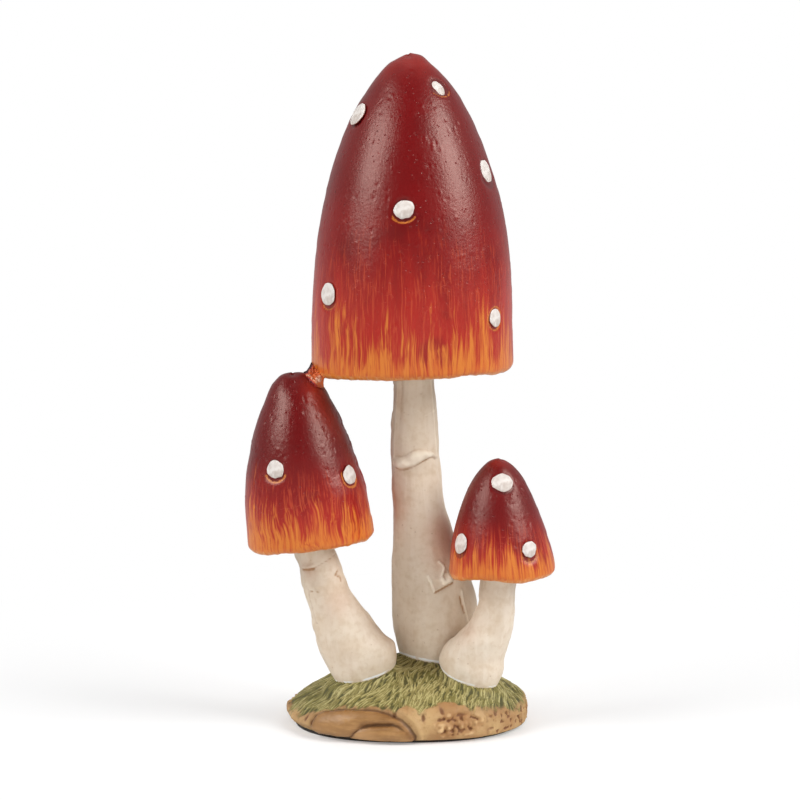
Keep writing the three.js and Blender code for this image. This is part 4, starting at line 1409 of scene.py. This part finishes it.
# %% Cap lacquer
def brushed_way(paint, kind):
    """Where a point lies round the cap and up it, with its height shrunk so that noise streaks."""
    unit = paint.vector("NORMALIZE", paint.vector("MULTIPLY", paint.place, (1, 1, 0)))
    upright = paint.vector("MULTIPLY", paint.place, (0, 0, 1 / 20))
    girth = (kind.cap_radius * MM,) * 3
    straight = paint.vector("MULTIPLY_ADD", unit, girth, upright)
    drift = {"Vector": paint.place, "Scale": 1 / (9 * MM), "Detail": 1}
    drift = paint.add("TexNoise", inputs=drift, output="Color")
    slack = (kind.wander * MM, kind.wander * MM, 0)
    return paint.vector("MULTIPLY_ADD", drift, slack, straight)


def scuffs(paint, size):
    """Thin wandering scratches, where a cloudy noise passes through its middle value."""
    cloud = paint.noise(size, 1)
    line = cloud.step(0.488, 0.5) * (1 - cloud.step(0.5, 0.512))
    return line * paint.noise(3.5, 1).step(0.5, 0.62)


def lacquer(kind):
    """Orange, with brushed red over it, worn, chipped and scratched."""
    paint = Paint(f"{kind.name}_lacquer")
    brush = brushed_way(paint, kind)
    height = paint.add("SeparateXYZ", inputs={"Vector": paint.place}).output("Z") * (1 / MM)
    share = height * (1 / kind.cap_height)
    hairs = paint.noise(0.45, 2, brush, 0.6)
    streaks = paint.noise(1.1, 3, brush, 0.6)
    flames = paint.noise(4, 1, brush)
    grain = paint.noise(0.7, 2)
    clouds = paint.noise(9, 2)
    rubbed = paint.mark("rubbed")
    orange = paint.coats(tint(214, 122, 46), (streaks.step(0.4, 0.65), (200, 90, 36)))
    red = paint.coats(
        tint(164, 24, 20),
        (hairs.step(0.4, 0.65), (186, 40, 26)),
        ((share + (flames - 0.5) * 0.35).step(0.12, 0.4), (136, 12, 14)),
        ((share + (clouds - 0.5) * 0.25).step(0.3, 0.62), (112, 8, 12)),
        (clouds.step(0.55, 0.75) * 0.35, (92, 10, 14)),
        ((share + (clouds - 0.5) * 0.2).step(0.34, 0.6) * kind.deepened, (80, 6, 12)),
        # painted light: a lighter red at the tip, where light from above falls
        ((share + (clouds - 0.5) * 0.1).step(0.9, 0.99) * kind.tipped, (146, 32, 26)),
        (rubbed * (0.2 + hairs), (176, 50, 36)),
    )
    middle, reach = kind.brushed
    climb = height * (1 / reach) - middle / reach - rubbed * 0.42
    rim = 1 - height.step(0.5, 5)
    lower = 1 - share.step(0.3, 0.55)
    broad = (streaks * 0.75 + hairs * 0.5 + flames * 0.5 + climb - rim * 0.12).step(0.76, 0.99)
    fine = (hairs + climb * 0.5).step(0.5, 0.6) * (1 - broad)
    bright = (1 - (hairs + climb * 0.1).step(0.38, 0.52)) * broad * lower
    dull = hairs.step(0.5, 0.64) * lower * (1 - rim * 0.6) * (0.06 + broad * 0.22)
    worn = (1 - (height + grain * 1.2).step(0.5, 1.5)) * streaks.step(0.4, 0.6)
    scratches = scuffs(paint, 2.2) * share.step(0.15, 0.25) * (1 - share.step(0.36, 0.5))
    hollow = (paint.mark("moat") + grain * 0.3 - 0.15).step(0.3, 0.9)
    bare = (paint.mark("bare") + grain * 0.9 - 0.45).step(0.25, 0.65)
    colour = paint.coats(
        paint.mix(broad, orange, red),
        (fine * 0.6, (184, 56, 34)),
        (bright * 0.42, (208, 84, 48)),
        (dull, (112, 14, 16)),
        (worn * 0.6, (232, 178, 112)),
        (scratches * 0.35, (214, 110, 84)),
        (hollow * 0.6, (84, 20, 24)),
        (bare * 0.9, (198, 112, 46)),
    )
    pits = (1 - paint.dots(1.25).step(0.1, 0.22)) * paint.noise(2.5, 1).step(0.48, 0.56)
    relief = hairs * 0.4 + grain - pits * (0.25 + share.step(0.1, 0.4)) * 1.6
    shine = {"Specular IOR Level": 0.62, "Specular Tint": (1.0, 0.8, 0.7, 1.0)}
    return paint.finish(colour, kind.gloss + grain * 0.12, relief, 0.06, **shine)


# The height where orange and red cover as much as each other, and how slowly one gives way to the
# other; then how rough the lacquer is, and how far in millimetres the brush strays from upright
tall.brushed, left.brushed, right.brushed = (6, 45), (6.5, 42), (4.5, 30)
tall.gloss, left.gloss, right.gloss = 0.28, 0.29, 0.34
tall.wander, left.wander, right.wander = 1.5, 3, 1.5
# How much darker the red is above its lower edge, and how much painted light lightens the tip
tall.deepened, left.deepened, right.deepened = 0.0, 0.3, 0.2
tall.tipped, left.tipped, right.tipped = 0.7, 0.0, 0.6
for kind, piece in zip(TOADSTOOLS, caps):
    fit(piece, lacquer(kind), "cap_lacquer", f"{kind.name}_cap")

# %% [markdown]
# ## White spots
#
# The discs lie in their moats. One profile with a bevelled edge is turned for all of them, and each
# is then pinched out of round. The white is dabbed on from above, and at the foot of the bevel it
# stops short of the red. The lower part of each disc is painted greyer, as painted shade.

# %% Discs of the spots
DISC_PROFILE = [
    (0.9, -0.45), (0.97, -0.35), (1.0, -0.16), (0.99, -0.06), (0.95, 0.01), (0.88, 0.07),
    (0.75, 0.14), (0.58, 0.2), (0.4, 0.24), (0.2, 0.26), (0.08, 0.26),
]  # shares of the spot's radius, and millimetres above the bell
DISC_SPACING = 0.17
DISC_SIDES = 72


def disc(kind, number, spot):
    """A spot on its own axes: a bevelled disc, pinched out of round and bent to the bell."""
    _, share, radius = spot
    profile = even([(part * radius, height) for part, height in DISC_PROFILE], DISC_SPACING)
    points = turned(profile, DISC_SIDES)
    angle = np.arctan2(points[..., 1], points[..., 0])
    outline = np.stack([np.cos(angle), np.sin(angle), 0 * angle], axis=-1) + number * 3
    pinch = layered(outline, (0.16, 1.1, kind.seed + 60), (0.07, 0.4, kind.seed + 62))
    points[..., :2] *= (1 + pinch[..., None]) * (1, 0.93)
    top = step(points[..., 2], -0.1, 0.04)
    points[..., 2] += top * 0.05 * lumps(points + number * 5, 2.2, kind.seed + 61)
    away, _ = bell_facing(kind, share * kind.cap_height)
    bend = away / (2 * bell_radius(kind, share * kind.cap_height))
    points[..., 2] -= bend * points[..., 0] ** 2
    middle, axes = spot_axes(kind, spot)
    own = Matrix.Translation(Vector(middle * MM)) @ Matrix(axes.tolist()).to_4x4()
    # low: how far down the disc a point lies, for the painted shade on its lower part
    marks = {"top": top, "low": -points[..., 1] / radius}
    return skin(f"{kind.name}_spot_{number + 1}_disc", points, marks, kind.place @ own)


def spot_paint():
    paint = Paint("spot_paint")
    clouds = paint.noise(1.4, 3)
    # painted shade: the lower part of each disc is greyer
    lower_painted_shade = (paint.mark("low") + clouds * 2.4 - 1.2).step(-0.2, 0.9)
    white = paint.coats(
        tint(230, 223, 217),
        (clouds.step(0.35, 0.7), (212, 201, 193)),
        (lower_painted_shade * 0.7, (190, 176, 166)),
    )
    covered = (paint.mark("top") + clouds * 0.6 - 0.3).step(0.1, 0.4)
    colour = paint.mix(covered, tint(140, 66, 50), white)
    return paint.finish(colour, 0.45 + clouds * 0.15, clouds, 0.02)


white_paint = spot_paint()
for kind in TOADSTOOLS:
    for number, spot in enumerate(kind.spots):
        fit(disc(kind, number, spot), white_paint, "spot_paint", f"{kind.name}_spot_{number + 1}")

# %% [markdown]
# ## Gills
#
# Seen from below, each cap shows a ring of gills round the stem. The blades are waves in the
# height of a flat ring, sharp at their edges and round in between, with a short blade between
# each two long ones as on the real mushroom. This ring has a hole, so its skin closes on itself.


# %% Gilled plates
GILL_EDGE, GILL_STEP, GILL_BACK = 0.6, 1.8, 3.0  # heights of the plate's levels above the rim
GILL_DEPTH = 0.75  # of the grooves between the blades
GILL_RINGS = 40
POINTS_PER_GILL = 12


def gills(kind):
    """The gilled plate: a flat ring whose underside is folded into blades."""
    inner, outer = kind.neck + GLUE, kind.cap_radius - PLATE_INSET - GLUE
    across = np.linspace(0, 1, GILL_RINGS)
    under = np.stack([outer + (inner - outer) * across, GILL_EDGE + 0 * across], axis=1)
    back = [(radius, GILL_BACK) for radius in (inner, (inner + outer) / 2, outer)]
    profile = np.vstack([back, [(outer, GILL_STEP)], under, [(inner, GILL_STEP)]])
    rows = turned(profile[::-1], POINTS_PER_GILL * kind.gills)[::-1]
    angle = np.arctan2(rows[..., 1], rows[..., 0]) + 0.02 * lumps(rows, 5, kind.seed + 70)
    share = (np.hypot(rows[..., 0], rows[..., 1]) - inner) / (outer - inner)
    long_blade = np.abs(np.cos(kind.gills * angle / 2)) ** 0.7
    short_blade = np.abs(np.sin(kind.gills * angle / 2)) ** 3 * step(share, 0.35, 0.6)
    groove = 1 - np.maximum(1 - long_blade, 0.8 * short_blade * long_blade)
    underside = rows[..., 2] < 1
    groove *= band(share, (0, 0.08), (0.92, 1)) * underside
    rows[..., 2] += GILL_DEPTH * groove + rim_lift(kind, rows) * underside
    return loop_skin(f"{kind.name}_gills_fine", rows, {"groove": groove}, kind.place)


def gill_paint():
    paint = Paint("gill_paint")
    clouds = paint.noise(3, 3)
    colour = paint.coats(
        tint(226, 208, 182),
        (clouds.step(0.3, 0.7), (210, 188, 158)),
        (paint.mark("groove").step(0.4, 1.0) * 0.7, (150, 112, 78)),
    )
    return paint.finish(colour, 0.6 + clouds * 0.1, clouds, 0.1)


pale_paint = gill_paint()
for kind in TOADSTOOLS:
    fit(gills(kind), pale_paint, "gill_paint", f"{kind.name}_gills")

# %% [markdown]
# ## Torn web
#
# Where two parts of the clay nearly touched, resin crept between the mould's halves, and was torn
# when they came apart. One such web ties the left cap's shoulder to the tall cap's rim. It is a
# crumpled sheet: an outline that starts inside both caps, and a few places on its front where it is
# pinched up or pressed in. Between them the sheet's depth is an average, in which nearer places
# count more.

# %% Web between the two caps
# The outline, as x, y and z.
WEB_EDGE = [
    (-25.99, -9.0, 91.21), (-25.27, -8.2, 91.5), (-24.7, -6.5, 92.21), (-24.31, -3.4, 93.05),
    (-23.96, -2.6, 93.22), (-23.48, -5.5, 92.37), (-22.66, -7.2, 92.16), (-21.59, -9.3, 91.49),
    (-20.54, -11.0, 90.41), (-20.77, -11.6, 89.59), (-20.92, -11.0, 88.65), (-20.84, -9.9, 87.52),
    (-21.57, -10.4, 86.57), (-23.0, -12.4, 87.29), (-24.24, -12.6, 88.07), (-25.39, -11.7, 89.23),
    (-25.97, -9.6, 90.26),
]
# Places on the front, as x, y and z, and how bare of red paint they are. At 0 the sheet is the
# darkest red, which partly stands for the shade in the gap between the caps.
WEB_FRONT = [
    (-23.64, -10.6, 92.28, 1.5), (-24.33, -11.6, 91.6, 1.65), (-25.1, -12.2, 90.71, 1.6),
    (-24.46, -12.3, 90.58, 1.65), (-23.83, -12.8, 89.96, 1.6), (-23.17, -13.1, 89.45, 1.3),
    (-23.57, -10.5, 91.34, 1.0), (-22.94, -9.6, 91.46, 1.0), (-23.07, -11.5, 90.46, 1.0),
    (-22.4, -10.5, 90.96, 1.0), (-24.4, -12.1, 89.8, 0.35), (-23.9, -12.7, 89.1, 0.3),
    (-25.2, -11.7, 89.95, 0.1), (-23.32, -13.2, 88.7, 0.3), (-22.56, -12.9, 89.96, 1.5),
    (-21.93, -12.8, 89.58, 1.6), (-21.8, -12.0, 90.33, 1.4), (-22.7, -13.3, 89.1, 1.4),
    (-22.18, -12.7, 88.2, 1.0), (-21.67, -12.1, 87.7, 0.9), (-22.8, -13.2, 88.0, 0.7),
    (-25.6, -12.2, 89.2, 0.1), (-24.3, -13.2, 88.2, 0.1), (-24.84, -6.0, 92.4, 0.0),
    (-25.7, -8.5, 91.3, 0.0), (-24.5, -8.5, 92.0, 0.0), (-25.2, -10.0, 91.2, 0.0),
]
WEB_THICKNESS = 2.0
WEB_RINGS = 16  # from the middle of the sheet to its edge


def crumpled_web(name, outline, front):
    """A closed sheet that faces forwards, through the places of its front."""
    edge = even([*outline, outline[0]], 0.25)[:-1]
    middle = edge.mean(axis=0)
    shares = np.linspace(0.04, 1, WEB_RINGS)
    shares = np.concatenate([shares, shares[-2::-1]])
    rows = middle + (edge - middle) * shares[:, None, None]
    held = [(*place, 1.1 * step(place[0], -23.9, -23)) for place in edge[::3]]
    known = np.array(front + held)
    away = np.hypot(rows[..., :1] - known[:, 0], rows[..., 2:] - known[:, 2])
    weight = 1 / (away**2 + 0.05) ** 1.8
    depth, orange = (weight @ known[:, column] / weight.sum(axis=2) for column in (1, 3))
    back = (np.arange(len(shares)) >= WEB_RINGS)[:, None]
    behind = back * WEB_THICKNESS * (1 - shares[:, None] ** 6)
    rows[..., 1] = depth + behind + 0.06 * lumps(rows, 0.9, 81) * (shares[:, None] < 0.95)
    return skin(name, rows[::-1], {"orange": orange[::-1]})


def web_paint():
    paint = Paint("web_paint")
    clouds = paint.noise(0.8, 3)
    orange = paint.mark("orange") + clouds * 0.4 - 0.2
    colour = paint.coats(
        # the darkest red is partly painted shade in the gap between the caps
        tint(58, 6, 14),
        (orange.step(0.25, 0.6), (172, 40, 36)),
        (orange.step(0.75, 1.05), (214, 108, 56)),
        (orange.step(1.15, 1.5) * 0.9, (226, 176, 150)),
    )
    return paint.finish(colour, 0.48 + clouds * 0.1, clouds, 0.08)


web = crumpled_web("cap_web_torn", WEB_EDGE, WEB_FRONT)
fit(web, web_paint(), "web_paint", "cap_web")

# %% [markdown]
# ## Felt and steel
#
# A felt pad under the mound keeps it from scratching a shelf, and steel wires run through the
# stems, out of sight. Their plain solids have the right shape already, so they only need a finish.


# %% Finishes of the plain solids
def felt():
    paint = Paint("felt")
    fibres = paint.noise(0.35, 5, roughness=0.7)
    colour = paint.coats(tint(38, 35, 33), (fibres.step(0.3, 0.7), (70, 65, 60)))
    return paint.finish(colour, 0.95 + fibres * 0.05, fibres, 0.25)


def steel():
    paint = Paint("steel_wire")
    lines = paint.noise(0.3, 2, paint.stretched(1, 1, 0.05))
    colour = paint.coats(tint(150, 150, 148), (lines.step(0.3, 0.7), (182, 182, 180)))
    return paint.finish(colour, 0.3 + lines * 0.2, lines, 0.02, Metallic=1.0)


def finish_solid(name, paint):
    """Gives a plain solid its finish."""
    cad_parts[name].material_slots[0].material = paint


finish_solid("felt_pad", felt())
drawn_steel = steel()
for kind in TOADSTOOLS:
    finish_solid(f"{kind.name}_wire", drawn_steel)

# %% [markdown]
# ## Floor and surroundings
#
# The figurine stands on a plain pale sheet that runs on past the picture's edges. The world gives
# the rest of the room: white behind the figurine, and dim behind the camera, which is what leaves
# the dark band down the middle of each cap. Glossy reflections see only half of that white, so that
# the edges of the caps stay red.


# %% Floor
def floor_paint():
    """Matt white paper, which glows by itself farther out, where the softboxes don't reach."""
    paint = Paint("floor_paint")
    clouds = paint.noise(60, 2)
    colour = paint.mix(clouds, tint(249, 249, 249), tint(251, 251, 251))
    reach = paint.vector("LENGTH", paint.place, output=1)
    paper = paint.add("BsdfPrincipled", inputs={"Base Color": colour, "Roughness": 0.9})
    seen = paint.add("LightPath").output("Is Camera Ray")
    glow = paint.add("Emission", inputs={"Color": (1, 1, 1, 1), "Strength": 0.6 + seen * 0.4})
    share = (reach * (1 / MM)).step(-60, 200)
    paint.end("OutputMaterial", paint.add("MixShader", inputs={0: share, 1: paper, 2: glow}))
    return paint.material


FLOOR_PROFILE = [(6000, -4), (6000, 0), (1500, 0), (400, 0), (100, 0)]  # radius and height
floor = skin("floor", turned(FLOOR_PROFILE, 96))
floor.data.materials.append(floor_paint())

# %% World
world = bpy.data.worlds.new("room")
bpy.context.scene.world = world
room = Nodes(world)
direction = room.add("TexCoord").output("Generated")
behind = room.add("SeparateXYZ", inputs={"Vector": direction}).output("Y")
mirrored = room.add("LightPath").output("Is Glossy Ray")
brightness = 0.04 + behind.step(-0.2, 0.8) * (0.8 - mirrored * 0.4)
seen = room.add("LightPath").output("Is Camera Ray")
strength = brightness * (1 - seen) + seen
glow = room.add("Background", inputs={"Color": (1, 1, 1, 1), "Strength": strength})
room.end("OutputWorld", glow)
bpy.context.scene.view_settings.view_transform = "Standard"
